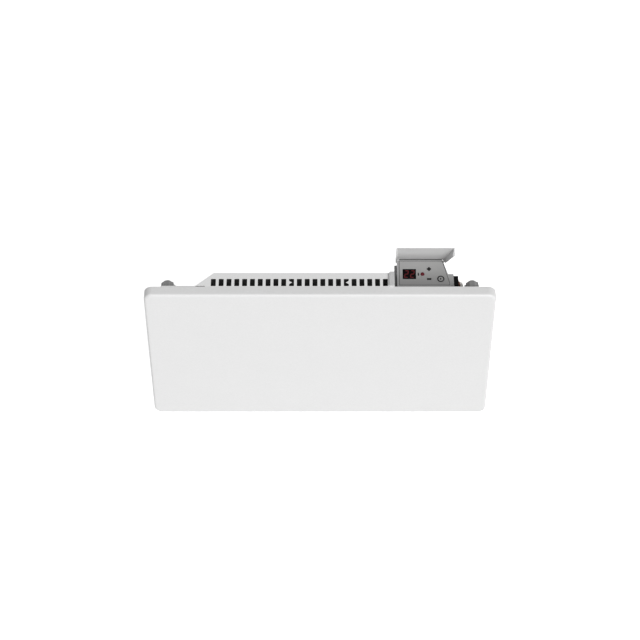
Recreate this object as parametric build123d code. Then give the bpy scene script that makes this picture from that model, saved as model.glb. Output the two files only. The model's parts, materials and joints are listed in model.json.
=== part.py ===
from build123d import *

import math
import os

# Wall panel convector heater, millimetres.
# The wall is the plane Y = 0, the front faces -Y, +Z is up, and the panel is centred on X = 0 and Z = 0.

# ---- driving sizes: front panel ----
panel_width = 719.0
panel_height = 389.0
heater_depth = 89.0          # wall to panel front
flange_depth = 24.3          # how deep the panel's edge is folded back
panel_sheet = 1.0
panel_corner = 17.0
front_bend = 5.5
side_lip = 40.0
top_lip = 12.0

# ---- driving sizes: casing ----
casing_sheet = 0.8
casing_depth = 37.3
casing_inset = 102.5         # panel side to casing side, at the panel
casing_taper = 39.0          # how much each slanted side runs in
casing_corner = 2.5
ear_inset = 34.5             # panel side to the ear's edge
ear_drop = 1.5               # panel top to the ear's edge
ear_return = 3.4             # how deep the ear's top and bottom edges are folded back
relief_length = 22.0         # cut in the casing's top and bottom where the ear is folded out
relief_width = 2.0
slot_width = 10.1
slot_length = 20.0
slot_pitch = 15.98
slot_corner = 1.2
slot_rim = 1.3               # panel's rear edge to the slots
slot_row_half = 222.9        # centre to the outer side of the outermost slot
tab_width = 8.0
tab_reach = 6.0
left_tab_number = 10         # slots that hold a small triangular tab
right_tab_number = 17
shield_sheet = 0.6
shield_margin = 13.0         # how far the heat shield laps onto the ears
cover_screw_inset = 70.0

# ---- driving sizes: heating element ----
element_height = 42.0        # casing bottom to the lower leg
element_leg_gap = 32.0
element_radius = 4.2
element_left_margin = 24.0
element_right_margin = 68.0
fin_height = 58.0
fin_depth = 24.0
fin_sheet = 0.5
fin_pitch = 9.0
bracket_sheet = 1.2
bracket_width = 14.0
insulator_radius = 7.0
insulator_length = 10.0
terminal_radius = 1.6
terminal_length = 12.0
lead_radius = 1.4
cutout_size = 14.0

# ---- driving sizes: control unit ----
face_slope = 15.0            # degrees
face_length = 59.5
face_rise = 0.5              # panel top to the face's front edge
unit_front_gap = 0.2         # ear to the unit
unit_left_inset = 201.8      # panel's right side to the unit's left side
unit_rim_inset = 88.3        # panel's right side to the rim's front right corner
unit_step_inset = 84.1       # panel's right side to the lower box's right side
rim_taper = 19.7             # how much the rim's right side runs in towards the wall
unit_wall = 2.2
step_drop = 17.2             # panel top to the top of the lower box
unit_floor_drop = 60.0
unit_wall_gap = 15.2         # lower box to the wall
rim_rear_height = 9.0
corner_cut_length = 6.0
corner_cut_width = 4.6
plate_thickness = 1.6
plate_left_rim = 4.8
plate_front_rim = 2.5
plate_rear_rim = 2.6
plate_right_rim_front = 4.3
plate_right_rim_rear = 1.6
ledge = 1.5
fit_gap = 0.15

# ---- driving sizes: what the face holds, as X from the unit's left side and distance up the slope ----
display_x = 25.1
display_up = 27.4
display_width = 27.3
display_height = 22.8
plate_nick = 1.5              # the plate's front right corner, cut back across and up
plate_nick_up = 3.0
beyond_face = 30.0            # how far cutting shapes run past the face's ends
face_cut = 5.0                # how far cutting shapes stand out of the face
body_depth = 90.0             # more than the upper body's depth under the face
corner_start = 0.8            # foot of the front right corner cut, up the face
waist_height = 8.0            # top of the lower box to where the upper body narrows
board_boss_radius = 3.2
shelf_boss_radius = 3.6
screw_end_room = 1.4          # screw end to the top of its boss
shadow_gap = 0.8              # wide and deep, round the plate
led_x = 52.0
led_radius = 4.0
keys_x = 65.5
plus_up = 38.9
minus_up = 16.0
plus_span = 8.2
plus_bar = 3.6
minus_width = 8.6
minus_height = 3.9
power_x = 89.2
power_up = 16.2
power_radius = 7.4
key_proud = 0.3
key_flange = 1.2
key_flange_thickness = 1.2
key_travel = 0.6

# ---- driving sizes: boards ----
board_drop = 8.0             # face to the control board's top
board_boss_inset = 5.2       # rim's right side to the rear right screw
board_reach = 3.0            # power key to the board's right edge
board_gap = 0.6
board_thickness = 1.6
tact_size = 6.0
tact_height = 3.4
power_board_lift = 7.0
unit_boss_height = 6.0
relay_height = 16.0
board_screw_radius = 1.3

# ---- driving sizes: lid ----
lid_sheet = 1.6
lid_gap = 2.3                # closed lid above the face
lid_skirt = 2.1
lid_right_skirt = 1.4
lid_skirt_depth = 16.0
lid_skirt_rear_depth = 12.0
lid_axis_inset = 1.3         # hinge axis to the face's rear edge
lid_axis_drop = 1.4
lid_front_margin = 2.3       # face's front edge to the closed lid's edge
lid_open_angle = 86.0        # degrees from closed to open
lid_tail = 2.7
lid_pivot_radius = 3.6
lid_pin_radius = 1.0
lid_pin_length = 6.0
lid_pin_clearance = 0.06
lid_side_gap = 0.5           # left skirt to the unit
lid_right_gap = 1.7          # rim to the slanted right skirt, which swings past it
lid_web = 3.4

# ---- driving sizes: switch and cord inlet ----
collar_length = 26.5
collar_height = 11.5
collar_proud = 9.6
collar_drop = 20.0           # panel top to the collar's top
collar_wall = 1.1
collar_back = 17.7           # wall to the collar's rear end
switch_body_depth = 15.0
rocker_half = 10.8
rocker_rise = 2.2
rocker_dip = 0.7
rocker_tilt = 12.0           # degrees each way
rocker_pivot_depth = 5.0
rocker_pin_radius = 1.2
inlet_radius = 4.5
inlet_bore = 3.2
inlet_reach = 17.0
inlet_drop = 38.5
inlet_back = 22.0
inlet_length = 23.0

# ---- driving sizes: trim beside the unit ----
trim_width = 11.1
trim_height = 5.2
trim_corner = 3.0
groove_width = 5.2           # between trim and unit, where the lid's left skirt runs
groove_drop = 16.0           # face to the groove's floor
groove_floor_sheet = 2.2
groove_floor_margin = 4.5    # face's rear edge to the floor's rear end
peg_radius = 1.5

# ---- driving sizes: locks and wall bracket ----
knob_inset = 46.5            # panel side to the knob's axis
knob_drop = 25.9
knob_radius = 14.5
knob_length = 27.0
knob_flutes = 9
flute_radius = 9.0
flute_depth = 1.6
first_flute = 14.0           # degrees from the X axis towards the top
spindle_radius = 3.0
spindle_clearance = 0.06
lock_bar_length = 12.0
lock_bar_width = 5.0
lock_bar_thickness = 3.0
lock_slot_half = 6.8
lock_slot_width = 7.0
clip_radius = 6.0
clip_thickness = 1.0
rail_width = 24.0
rail_sheet = 1.5
rail_bottom = 150.0          # below the panel's middle
web_margin = 8.6
web_length = 36.0             # lock slot's lower end to the arm
web_neck = 14.0              # knob axis down to where the web widens
hook_width = 13.0
hook_rise = 7.0
web_to_wall = 31.5
wall_hole_height = 110.0
wall_hole_radius = 3.0
bar_height = 30.0
rivet_radius = 2.4

seat = 0.3                   # running gap between pieces that don't touch

# ---- derived places ----
half_w = panel_width / 2
half_h = panel_height / 2
top = half_h
front_y = -heater_depth
flange_y = front_y + flange_depth
ear_y = flange_y + casing_sheet
casing_y = flange_y + casing_depth
casing_front_half = half_w - casing_inset
casing_rear_half = casing_front_half - casing_taper
ear_half = half_w - ear_inset
side_slant = math.hypot(casing_taper, casing_depth) / casing_depth

unit_left = half_w - unit_left_inset
unit_right = half_w - unit_step_inset
unit_front = ear_y + unit_front_gap
unit_rear = -unit_wall_gap
unit_floor = top - unit_floor_drop
step_z = top - step_drop
cut_left = unit_left - groove_width
trim_left = cut_left - trim_width

slope = math.radians(face_slope)
FACE = Plane(
    origin=(0, unit_front, top + face_rise),
    x_dir=(1, 0, 0),
    z_dir=(0, -math.sin(slope), math.cos(slope)),
)
face_z = top + face_rise
face_rear_y = unit_front + face_length * math.cos(slope)
face_rear_z = face_z + face_length * math.sin(slope)

lid_axis_back = face_length - lid_axis_inset
lid_length = lid_axis_back - lid_front_margin

knob_x = half_w - knob_inset
knob_z = top - knob_drop


# ---- small helpers ----
def block(x0, x1, y0, y1, z0, z1):
    """A box given by its two corners."""
    return Pos((x0 + x1) / 2, (y0 + y1) / 2, (z0 + z1) / 2) * Box(x1 - x0, y1 - y0, z1 - z0)


def rod_x(radius, x0, x1, y, z):
    return Pos((x0 + x1) / 2, y, z) * Rot(0, 90, 0) * Cylinder(radius, x1 - x0)


def rod_y(radius, x, y0, y1, z):
    return Pos(x, (y0 + y1) / 2, z) * Rot(90, 0, 0) * Cylinder(radius, y1 - y0)


def rod_z(radius, x, y, z0, z1):
    return Pos(x, y, (z0 + z1) / 2) * Cylinder(radius, z1 - z0)


def plan_prism(points, z0, z1):
    """A prism over an outline of X and Y."""
    return Pos(0, 0, z0) * extrude(make_face(Polyline(*points, close=True)), z1 - z0)


def side_prism(points, x0, x1):
    """A prism along X over an outline of Y and Z."""
    side = Plane(origin=(x0, 0, 0), x_dir=(0, 1, 0), z_dir=(1, 0, 0))
    return extrude(side * make_face(Polyline(*points, close=True)), x1 - x0)


def on_face(shape):
    """Moves a shape from the sloping face's own frame (X, up the slope, out of it) to its place."""
    return FACE.location * shape


def tube(points, radius, bends):
    """A round lead along straight runs joined by arcs."""
    path = FilletPolyline(*points, radius=bends)
    first = Vector(*points[0])
    start = Plane(origin=first, z_dir=Vector(*points[1]) - first)
    return sweep(start * Circle(radius), path=path)


def pan_head_y(x, z, y, radius, shank, inward):
    """A screw along Y whose head's underside is at y; inward is the way that its shank points."""
    head_low, head_high = sorted((y, y - inward * radius))
    shank_low, shank_high = sorted((y, y + inward * shank))
    head = rod_y(radius * 2, x, head_low, head_high, z)
    return head + rod_y(radius, x, shank_low, shank_high, z)


def save(name, *solids):
    """Writes one node, as one solid or as a group of separate ones."""
    shapes = []
    for shape in solids:
        shapes.extend(shape.solids())
    node = shapes[0] if len(shapes) == 1 else Compound(children=shapes)
    node.label = name
    export_step(node, f"parts/{name}.step")


# ---- front panel and casing ----
def panel_shape(inset, y_front, y_rear, bend):
    outline = RectangleRounded(panel_width - 2 * inset, panel_height - 2 * inset, panel_corner - inset)
    slab = Pos(0, y_rear, 0) * extrude(Plane.XZ * outline, y_rear - y_front)
    return fillet(slab.faces().sort_by(Axis.Y)[0].edges(), bend)


def cover_screw_places():
    lip_middle = half_h - top_lip / 2 - ear_drop / 2
    xs = (-(half_w - cover_screw_inset), half_w - cover_screw_inset)
    return [(x, z) for x in xs for z in (-lip_middle, lip_middle)]


def front_panel():
    outer = panel_shape(0, front_y, flange_y, front_bend)
    inner = panel_shape(panel_sheet, front_y + panel_sheet, flange_y - panel_sheet, front_bend - panel_sheet)
    opening = block(-half_w + side_lip, half_w - side_lip, flange_y - 2 * panel_sheet, flange_y + panel_sheet,
                    -half_h + top_lip, half_h - top_lip)
    shell = outer - inner - opening
    for x, z in cover_screw_places():
        shell -= rod_y(board_screw_radius, x, flange_y - 2 * panel_sheet, flange_y + panel_sheet, z)
    return shell


def casing_half_width(y):
    return casing_front_half - casing_taper * (y - flange_y) / casing_depth


def casing_prism(inset, y0, y1, z0, z1):
    near = casing_half_width(y0) - inset * side_slant
    far = casing_half_width(y1) - inset * side_slant
    return plan_prism([(-near, y0), (near, y0), (far, y1), (-far, y1)], z0, z1)


def slot_lefts():
    count = int((2 * slot_row_half - slot_width) / slot_pitch + 1.001)
    return [-slot_row_half + slot_pitch * index for index in range(count)]


def slot_pattern(lefts, z):
    middle_y = flange_y + slot_rim + slot_length / 2
    cuts = []
    for left in lefts:
        middle_x = left + slot_width / 2
        outline = Pos(middle_x, middle_y) * RectangleRounded(slot_width, slot_length, slot_corner)
        cuts.append(Pos(0, 0, z - casing_sheet * 1.5) * extrude(outline, casing_sheet * 3))
    return cuts


def slot_tab(left, from_left):
    """The small triangular tab that stands out of one side of a slot."""
    middle_y = flange_y + slot_rim + slot_length / 2
    root = left if from_left else left + slot_width
    tip = root + (tab_reach if from_left else -tab_reach)
    points = [(root, middle_y - tab_width / 2), (tip, middle_y), (root, middle_y + tab_width / 2)]
    if from_left:
        points.reverse()
    return plan_prism(points, top - casing_sheet, top)


def rear_cover():
    body = casing_prism(0, flange_y, casing_y, -half_h, half_h)
    rear_edges = body.edges().filter_by(Axis.Z).sort_by(Axis.Y)[-2:]
    body = fillet(rear_edges, casing_corner)
    hollow = casing_prism(casing_sheet, flange_y - casing_sheet, casing_y - casing_sheet,
                          -half_h + casing_sheet, half_h - casing_sheet)
    ears = block(-ear_half, ear_half, flange_y, ear_y, -half_h + ear_drop, half_h - ear_drop)
    returns = block(-ear_half, ear_half, flange_y, flange_y + ear_return, -half_h + ear_drop, half_h - ear_drop)
    returns -= block(-ear_half - 1, ear_half + 1, flange_y - 1, flange_y + ear_return + 1,
                     -half_h + ear_drop + casing_sheet, half_h - ear_drop - casing_sheet)
    shell = body + ears + returns - hollow
    lefts = slot_lefts()
    top_lefts = [left for left in lefts if left + slot_width < trim_left]
    shell -= slot_pattern(top_lefts, half_h - casing_sheet / 2)
    shell -= slot_pattern(lefts, -half_h + casing_sheet / 2)
    shell += slot_tab(top_lefts[left_tab_number], True)
    shell += slot_tab(top_lefts[right_tab_number], False)
    for side in (-1, 1):
        outer, inner = side * (casing_front_half + 1), side * (casing_front_half - relief_length)
        low_x, high_x = min(outer, inner), max(outer, inner)
        for z in (-half_h, half_h - casing_sheet):
            shell -= block(low_x, high_x, flange_y, flange_y + relief_width, z, z + casing_sheet)
    shell -= unit_corner_cut()
    for side in (-1, 1):
        x = side * knob_x
        shell -= rod_y(spindle_radius + 2 * spindle_clearance, x, flange_y - 1, ear_y + 1, knob_z)
        shell -= block(x - hook_width / 2 - 1, x + hook_width / 2 + 1, flange_y - 1, ear_y + 1,
                       -rail_bottom - hook_rise - 3, -rail_bottom)
    for x, z in cover_screw_places():
        shell -= rod_y(board_screw_radius, x, flange_y - 1, ear_y + 1, z)
    for x, z in element_rivet_places() + shelf_rivet_places() + clip_places():
        shell -= rod_y(rivet_radius, x, casing_y - 2, casing_y + 1, z)
    shell -= rod_y(rivet_radius, earth_x, casing_y - 2, casing_y + 1, earth_z)
    for x, y in trim_peg_places():
        shell -= rod_z(peg_radius, x, y, top - 2, top + 1)
    return shell


def unit_corner_cut():
    """The corner of the casing, and the strip of the ear, that the control unit takes up."""
    corner = block(cut_left, ear_half + 1, ear_y, 1, unit_floor - 2, top + 1)
    notch = block(cut_left, unit_right + 2, flange_y - 1, flange_y + ear_return + 1, top - step_drop - 2, top + 1)
    return [corner, notch]


def heat_shield():
    reach = casing_front_half + shield_margin
    height = half_h - top_lip - seat
    return block(-reach, reach, flange_y - shield_sheet, flange_y, -height, height)


def cover_screws():
    shank = panel_sheet + casing_sheet + 3
    return [pan_head_y(x, z, ear_y, board_screw_radius, shank, -1) for x, z in cover_screw_places()]


# ---- heating element ----
leg_low = -half_h + element_height
leg_high = leg_low + element_leg_gap
element_y = (ear_y + casing_y - casing_sheet) / 2
legs_left = -casing_rear_half + element_left_margin
legs_right = casing_rear_half - element_right_margin
brackets_x = (legs_left + 22.0, legs_right - 10.0)


def element_tube():
    bend_radius = element_leg_gap / 2
    side = Plane(origin=(0, element_y, 0), x_dir=(1, 0, 0), z_dir=(0, -1, 0))
    bend_x = legs_left + bend_radius
    path = Line((legs_right, leg_low), (bend_x, leg_low))
    path += ThreePointArc((bend_x, leg_low), (legs_left, leg_low + bend_radius), (bend_x, leg_high))
    path += Line((bend_x, leg_high), (legs_right, leg_high))
    start = Plane(origin=(legs_right, element_y, leg_low), z_dir=(-1, 0, 0))
    return sweep(start * Circle(element_radius), path=side * path)


def element_fins():
    first = brackets_x[0] + bracket_width
    last = brackets_x[1] - bracket_width
    count = int((last - first) / fin_pitch)
    middle = (leg_low + leg_high) / 2
    fins = []
    for index in range(count + 1):
        x = first + fin_pitch * index
        fin = block(x, x + fin_sheet, element_y - fin_depth / 2, element_y + fin_depth / 2,
                    middle - fin_height / 2, middle + fin_height / 2)
        for z in (leg_low, leg_high):
            fin -= rod_x(element_radius + 0.02, x - 1, x + fin_sheet + 1, element_y, z)
        fins.append(fin)
    return fins


def bracket_span():
    return leg_low - 18, leg_high + 18


def element_rivet_places():
    low, high = bracket_span()
    xs = [x - bracket_width / 2 for x in brackets_x]
    return [(x, z) for x in xs for z in (low + 5, high - 5)]


def element_bracket(x, hole_radius):
    """An upright plate across the element, with a foot folded onto the casing's back."""
    low, high = bracket_span()
    inside = casing_y - casing_sheet
    upright = block(x - bracket_sheet, x, element_y - 11, inside, low, high)
    foot = block(x - bracket_width, x, inside - bracket_sheet, inside, low, high)
    bracket = upright + foot
    for z in (leg_low, leg_high):
        bracket -= rod_x(hole_radius, x - bracket_sheet - 1, x + 1, element_y, z)
    for z in (low + 5, high - 5):
        bracket -= rod_y(rivet_radius, x - bracket_width / 2, inside - 3, inside + 1, z)
    return bracket


def element_rivets():
    inner = casing_y - casing_sheet - bracket_sheet
    rivets = []
    for x, z in element_rivet_places():
        rivet = rod_y(rivet_radius, x, inner, casing_y, z)
        rivet += rod_y(rivet_radius * 1.7, x, inner - 1.2, inner, z)
        rivets.append(rivet + rod_y(rivet_radius * 1.7, x, casing_y, casing_y + 1.0, z))
    return rivets


def element_insulators():
    """Ceramic bushes with a collar, round both legs in the right bracket."""
    x = brackets_x[1]
    bushes = []
    for z in (leg_low, leg_high):
        bush = rod_x(insulator_radius - 1.5, x - bracket_sheet - 2, x + 2, element_y, z)
        bush += rod_x(insulator_radius, x, x + insulator_length - 4, element_y, z)
        bushes.append(bush - rod_x(element_radius + 0.02, x - 9, x + insulator_length, element_y, z))
    return bushes


def element_terminals():
    return [rod_x(terminal_radius, legs_right, legs_right + terminal_length, element_y, z)
            for z in (leg_low, leg_high)]


cutout_z = leg_high + insulator_radius + 7.0


def thermal_cutout():
    """A small switch that sits against the right bracket, with two tabs on its far side."""
    half = cutout_size / 2
    x = brackets_x[1]
    body = block(x, x + 6, element_y - half + 3, element_y + half - 1, cutout_z - 5, cutout_z + 6.5)
    for y in (element_y - 1.5, element_y + 3.5):
        body += block(x + 6, x + 13, y - 0.4, y + 0.4, cutout_z - 2, cutout_z + 3)
    return body


# ---- leads, all on the casing's inside ----
grommet_x = casing_rear_half - 16.0
grommet_y = element_y + 4.0
lead_spread = 5.0
lead_end_z = unit_floor + 12.0
lead_bend = 9.0
earth_x = casing_rear_half - 34.0
earth_z = -half_h + 90.0
lead_rise_y = casing_y - casing_sheet - lead_radius - 0.3


def riser(x, start):
    """A lead that leaves its terminal, runs up the casing's back and enters the unit's floor."""
    y = lead_rise_y
    below = unit_floor - 34.0
    points = [start, (x, start[1], start[2]), (x, y, start[2] + 24.0), (x, y, below),
              (x, grommet_y, below + 20.0), (x, grommet_y, lead_end_z)]
    bends = [lead_bend, lead_bend, lead_bend, lead_bend]
    return tube(points, lead_radius, bends)


def lead_x(index):
    return grommet_x + (index - 1) * lead_spread


def live_lead():
    x = legs_right + terminal_length
    return riser(lead_x(1), (x, element_y, leg_high))


def neutral_lead():
    x = legs_right + terminal_length
    return riser(lead_x(2), (x, element_y, leg_low))


def earth_lead():
    x = lead_x(0)
    y = lead_rise_y - 1.5
    points = [(x, y, earth_z + 4.0), (x, y, unit_floor - 34.0), (x, grommet_y, unit_floor - 14.0),
              (x, grommet_y, lead_end_z)]
    return tube(points, lead_radius, [lead_bend, lead_bend])


def earth_screw():
    inner = casing_y - casing_sheet
    ring = rod_y(rivet_radius * 2.1, earth_x, inner - 2.2, inner - 1.0, earth_z)
    ring += block(earth_x, lead_x(0) + 2, inner - 2.2, inner - 1.0, earth_z - 2, earth_z + 2)
    screw = rod_y(rivet_radius, earth_x, inner - 2.2, casing_y + 3.0, earth_z)
    screw += rod_y(rivet_radius * 1.9, earth_x, inner - 4.6, inner - 2.2, earth_z)
    return screw + ring


def lead_grommet():
    """A rubber plug with three holes, in the shelf and the unit's floor."""
    shelf_low = unit_floor - shelf_gap - shelf_sheet
    plug = rod_z(grommet_radius, grommet_x, grommet_y, shelf_low - 1.5, unit_floor + unit_wall + 1.5)
    plug += rod_z(grommet_radius + 2, grommet_x, grommet_y, shelf_low - 3.0, shelf_low)
    plug += rod_z(grommet_radius + 2, grommet_x, grommet_y, unit_floor + unit_wall, unit_floor + unit_wall + 1.5)
    for index in (0, 1, 2):
        plug -= rod_z(lead_radius + 0.1, lead_x(index), grommet_y, shelf_low - 9, unit_floor + 9)
    return plug


clip_zs = (leg_high + 60.0, leg_high + 140.0)


def clip_places():
    return [(grommet_x - 17.0, z) for z in clip_zs]


def lead_clips():
    """Strap saddles that hold the three leads against the casing's back."""
    inside = casing_y - casing_sheet
    strap = inside - 2 * lead_radius - 3.2
    clips = []
    for x, z in clip_places():
        left, right = lead_x(0) - 4.0, lead_x(2) + 4.0
        clip = block(x - 4, left, inside - 1.2, inside, z - 4, z + 4)
        clip += block(left - 1.2, left, strap - 1.2, inside, z - 4, z + 4)
        clip += block(left - 1.2, right, strap - 1.2, strap, z - 4, z + 4)
        clip += block(right - 1.2, right, strap - 1.2, inside - 0.1, z - 4, z + 4)
        clip += rod_y(rivet_radius, x, inside - 1.2, casing_y + 1.0, z)
        clips.append(clip)
    return clips


sensor_x = legs_right + 44.0
sensor_z = -half_h + 14.0


def room_sensor():
    """A temperature bead in a small holder on the casing's floor, between two slots."""
    floor = -half_h + casing_sheet
    holder = block(sensor_x - 4, sensor_x + 4, casing_y - 12, casing_y - casing_sheet, floor, floor + 2)
    holder += block(sensor_x - 2.5, sensor_x + 2.5, casing_y - 9, casing_y - 4, floor, sensor_z - 2)
    return holder + Pos(sensor_x, casing_y - 6.5, sensor_z) * Sphere(3.2)


def sensor_lead():
    y = lead_rise_y - 6.0
    x = lead_x(0) - 6.5
    start = (sensor_x, casing_y - 6.5, sensor_z + 3.2)
    low = (sensor_x, casing_y - 6.5, sensor_z + 16.0)
    high = (x, y, sensor_z + 44.0)
    end = (x, y, earth_z + 40.0)
    return tube([start, low, high, end], lead_radius * 0.7, [lead_bend, lead_bend])


# ---- control unit: housing ----
shelf_gap = 0.2
shelf_sheet = 1.2
grommet_radius = 9.0


def rim_right(up, inset=0.0):
    """X of the rim's right side at a distance up the slope."""
    front_right = half_w - unit_rim_inset
    return front_right - rim_taper * up / face_length - inset


def unit_outline(inset):
    """The upper body's outline in the face's frame, running past both ends of the face."""
    cut_x = rim_right(0) - corner_cut_width - inset
    far = face_length + beyond_face
    return [(unit_left + inset, -beyond_face), (cut_x, -beyond_face), (cut_x, corner_start + inset),
            (rim_right(corner_cut_length, inset), corner_cut_length + inset),
            (rim_right(far, inset), far), (unit_left + inset, far)]


def face_prism(points, low, high):
    return on_face(Pos(0, 0, low) * extrude(make_face(Polyline(*points, close=True)), high - low))


def plate_outline(inset):
    rear = face_length - plate_rear_rim
    front = plate_front_rim
    return [(unit_left + plate_left_rim + inset, front + inset),
            (rim_right(front, plate_right_rim_front + inset) - plate_nick, front + inset),
            (rim_right(front + plate_nick_up, plate_right_rim_front + inset), front + plate_nick_up + inset),
            (rim_right(rear, plate_right_rim_rear + inset), rear - inset),
            (unit_left + plate_left_rim + inset, rear - inset)]


def upper_profile(inset, roof_drop):
    """The upper body from the side, as Y and Z."""
    lift = roof_drop / math.cos(slope)
    back = face_rear_y - inset
    return [(unit_front + inset, face_z - lift + inset * math.tan(slope)),
            (back, face_rear_z - lift - inset * math.tan(slope)),
            (back, face_rear_z - rim_rear_height - inset / 2),
            (unit_rear - inset, step_z + waist_height - inset / 2),
            (unit_rear - inset, step_z - inset),
            (unit_front + inset, step_z - inset)]


def control_housing():
    inner_left, inner_right = unit_left + unit_wall, unit_right - unit_wall
    inner_front, inner_rear = unit_front + unit_wall, unit_rear - unit_wall
    upper = side_prism(upper_profile(0, 0), unit_left, unit_right)
    upper &= face_prism(unit_outline(0), -body_depth, face_cut)
    lower = block(unit_left, unit_right, unit_front, unit_rear, unit_floor, step_z)
    body = upper + lower
    room = side_prism(upper_profile(unit_wall, 2 * plate_thickness), unit_left, unit_right)
    body -= room & face_prism(unit_outline(unit_wall), -body_depth, face_cut)
    body -= block(inner_left, inner_right, inner_front, inner_rear, unit_floor + unit_wall, step_z - unit_wall)
    # the upper room opens into the lower box
    link = block(unit_left, unit_right, inner_front, inner_rear, step_z - 2 * unit_wall, step_z)
    body -= link & face_prism(unit_outline(unit_wall), -body_depth, face_cut)
    body -= face_prism(plate_outline(-fit_gap), -plate_thickness, face_cut)
    body -= face_prism(plate_outline(-shadow_gap), -shadow_gap, face_cut)
    body -= face_prism(plate_outline(ledge), -2 * plate_thickness - 1, face_cut)
    body += groove_floor()
    for x, up in board_screw_places():
        boss = Pos(x, up, -board_drop / 2 - plate_thickness) * Cylinder(board_boss_radius, board_drop - 2 * plate_thickness)
        hole = Pos(x, up, -board_drop) * Cylinder(board_screw_radius, 2 * plate_thickness + 4)
        body += on_face(boss)
        body -= on_face(hole)
    for x, y in power_screw_places():
        body += rod_z(board_boss_radius, x, y, unit_floor, unit_floor + power_board_lift)
        body -= rod_z(board_screw_radius, x, y, unit_floor + unit_wall, unit_floor + power_board_lift + 1)
    body -= rod_z(grommet_radius, grommet_x, grommet_y, unit_floor - 1, unit_floor + unit_wall + 1)
    for x, y in unit_screw_places():
        body += rod_z(shelf_boss_radius, x, y, unit_floor, unit_floor + unit_boss_height)
        body -= rod_z(board_screw_radius, x, y, unit_floor - 1, unit_floor + unit_boss_height - 1)
    body -= switch_body_block(0)
    body -= rod_x(inlet_radius - 1, unit_right - 5, unit_right + 1, -inlet_back, top - inlet_drop)
    for start, end in lid_pin_spans():
        body -= lid_pin(start, end)
    return body


def groove_floor():
    """A strip along the unit's left side that closes the groove the lid's left skirt goes into."""
    left, right = cut_left + seat, unit_left + unit_wall / 2
    front, rear = -groove_floor_margin, face_length - groove_floor_margin
    outline = [(left, front), (right, front), (right, rear), (left, rear)]
    return face_prism(outline, -groove_drop - groove_floor_sheet, -groove_drop)


def face_plate():
    plate = face_prism(plate_outline(0), -plate_thickness, 0)
    plate -= on_face(display_opening(0, -plate_thickness - 1, 1))
    plate -= on_face(face_disc(led_x, display_up, led_radius + fit_gap, -plate_thickness - 1, 1))
    plate -= on_face(plus_shape(fit_gap, -plate_thickness - 1, 1))
    plate -= on_face(minus_shape(fit_gap, -plate_thickness - 1, 1))
    plate -= on_face(face_disc(power_x, power_up, power_radius + fit_gap, -plate_thickness - 1, 1))
    return plate


def face_disc(x, up, radius, low, high):
    return Pos(unit_left + x, up, (low + high) / 2) * Cylinder(radius, high - low)


def face_block(x, up, width, height, low, high):
    return Pos(unit_left + x, up, (low + high) / 2) * Box(width, height, high - low)


def display_opening(inset, low, high):
    return face_block(display_x, display_up, display_width - 2 * inset, display_height - 2 * inset, low, high)


def plus_shape(grow, low, high):
    span = plus_span + 2 * grow
    bar = plus_bar + 2 * grow
    across = face_block(keys_x, plus_up, span, bar, low, high)
    return across + face_block(keys_x, plus_up, bar, span, low, high)


def minus_shape(grow, low, high):
    return face_block(keys_x, minus_up, minus_width + 2 * grow, minus_height + 2 * grow, low, high)


# ---- control unit: what the face holds ----
key_under = -plate_thickness - seat
key_bottom = key_under - key_flange_thickness


def display_window():
    return on_face(display_opening(0, -plate_thickness, -0.2))


def display_module():
    return on_face(display_opening(1.0, -board_drop, -plate_thickness))


def status_led():
    lens = face_disc(led_x, display_up, led_radius, -plate_thickness - 1, -0.4)
    lens += Pos(unit_left + led_x, display_up, -0.4) * scale(Sphere(led_radius), (1, 1, 0.3))
    lens += face_disc(led_x, display_up, led_radius + 0.6, -plate_thickness - 2.2, -plate_thickness)
    lens += face_disc(led_x, display_up, led_radius - 0.8, -board_drop, -plate_thickness - 2.2)
    return on_face(lens)


def plus_key():
    cap = plus_shape(0, key_under, key_proud)
    return on_face(cap + face_disc(keys_x, plus_up, plus_span / 2 + key_flange, key_bottom, key_under))


def minus_key():
    cap = minus_shape(0, key_under, key_proud)
    return on_face(cap + face_disc(keys_x, minus_up, minus_width / 2 + key_flange, key_bottom, key_under))


def power_key():
    cap = face_disc(power_x, power_up, power_radius, key_under, key_proud)
    cap = fillet(cap.edges().sort_by(Axis.Z)[-1], 0.3)
    return on_face(cap + face_disc(power_x, power_up, power_radius + key_flange, key_bottom, key_under))


# ---- control unit: boards ----
def board_screw_places():
    near, front, rear = unit_left + plate_left_rim + 3.0, 7.0, face_length - 13.5
    return [(near, front), (near, rear), (unit_left + 60.0, front),
            (rim_right(rear, board_boss_inset), rear)]


def control_board():
    low, high = -board_drop - board_thickness, -board_drop
    right = unit_left + power_x + power_radius + board_reach
    rear = face_length - 9.5
    points = [(unit_left + 3.2, 4.0), (right, 4.0), (right, power_up + 12.0),
              (rim_right(rear, unit_wall + board_gap), rear),
              (unit_left + 3.2, rear)]
    board = Pos(0, 0, low) * extrude(make_face(Polyline(*points, close=True)), high - low)
    for x, up in board_screw_places():
        board -= Pos(x, up, low) * Cylinder(board_screw_radius, 6)
    return on_face(board)


def tact_switches():
    switches = []
    for x, up in ((keys_x, plus_up), (keys_x, minus_up), (power_x, power_up)):
        body = face_block(x, up, tact_size, tact_size, -board_drop, -board_drop + tact_height)
        plunger_top = key_bottom - key_travel - fit_gap
        switches.append(on_face(body + face_disc(x, up, 1.7, -board_drop + tact_height, plunger_top)))
    return switches


def board_screws():
    low = -board_drop - board_thickness
    screws = []
    for x, up in board_screw_places():
        head = Pos(x, up, low - 0.9) * Cylinder(2.6, 1.8)
        shank = Pos(x, up, low + 2.4) * Cylinder(board_screw_radius, 4.8)
        screws.append(on_face(head + shank))
    return screws


power_left = unit_left + unit_wall + 2.0
power_right = unit_left + 96.0
power_front = unit_front + unit_wall + 2.0
power_rear = unit_rear - unit_wall - 2.0
power_top = unit_floor + power_board_lift + board_thickness


def power_screw_places():
    return [(x, y) for x in (power_left + 5, power_right - 5) for y in (power_front + 4, power_rear - 4)]


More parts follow.
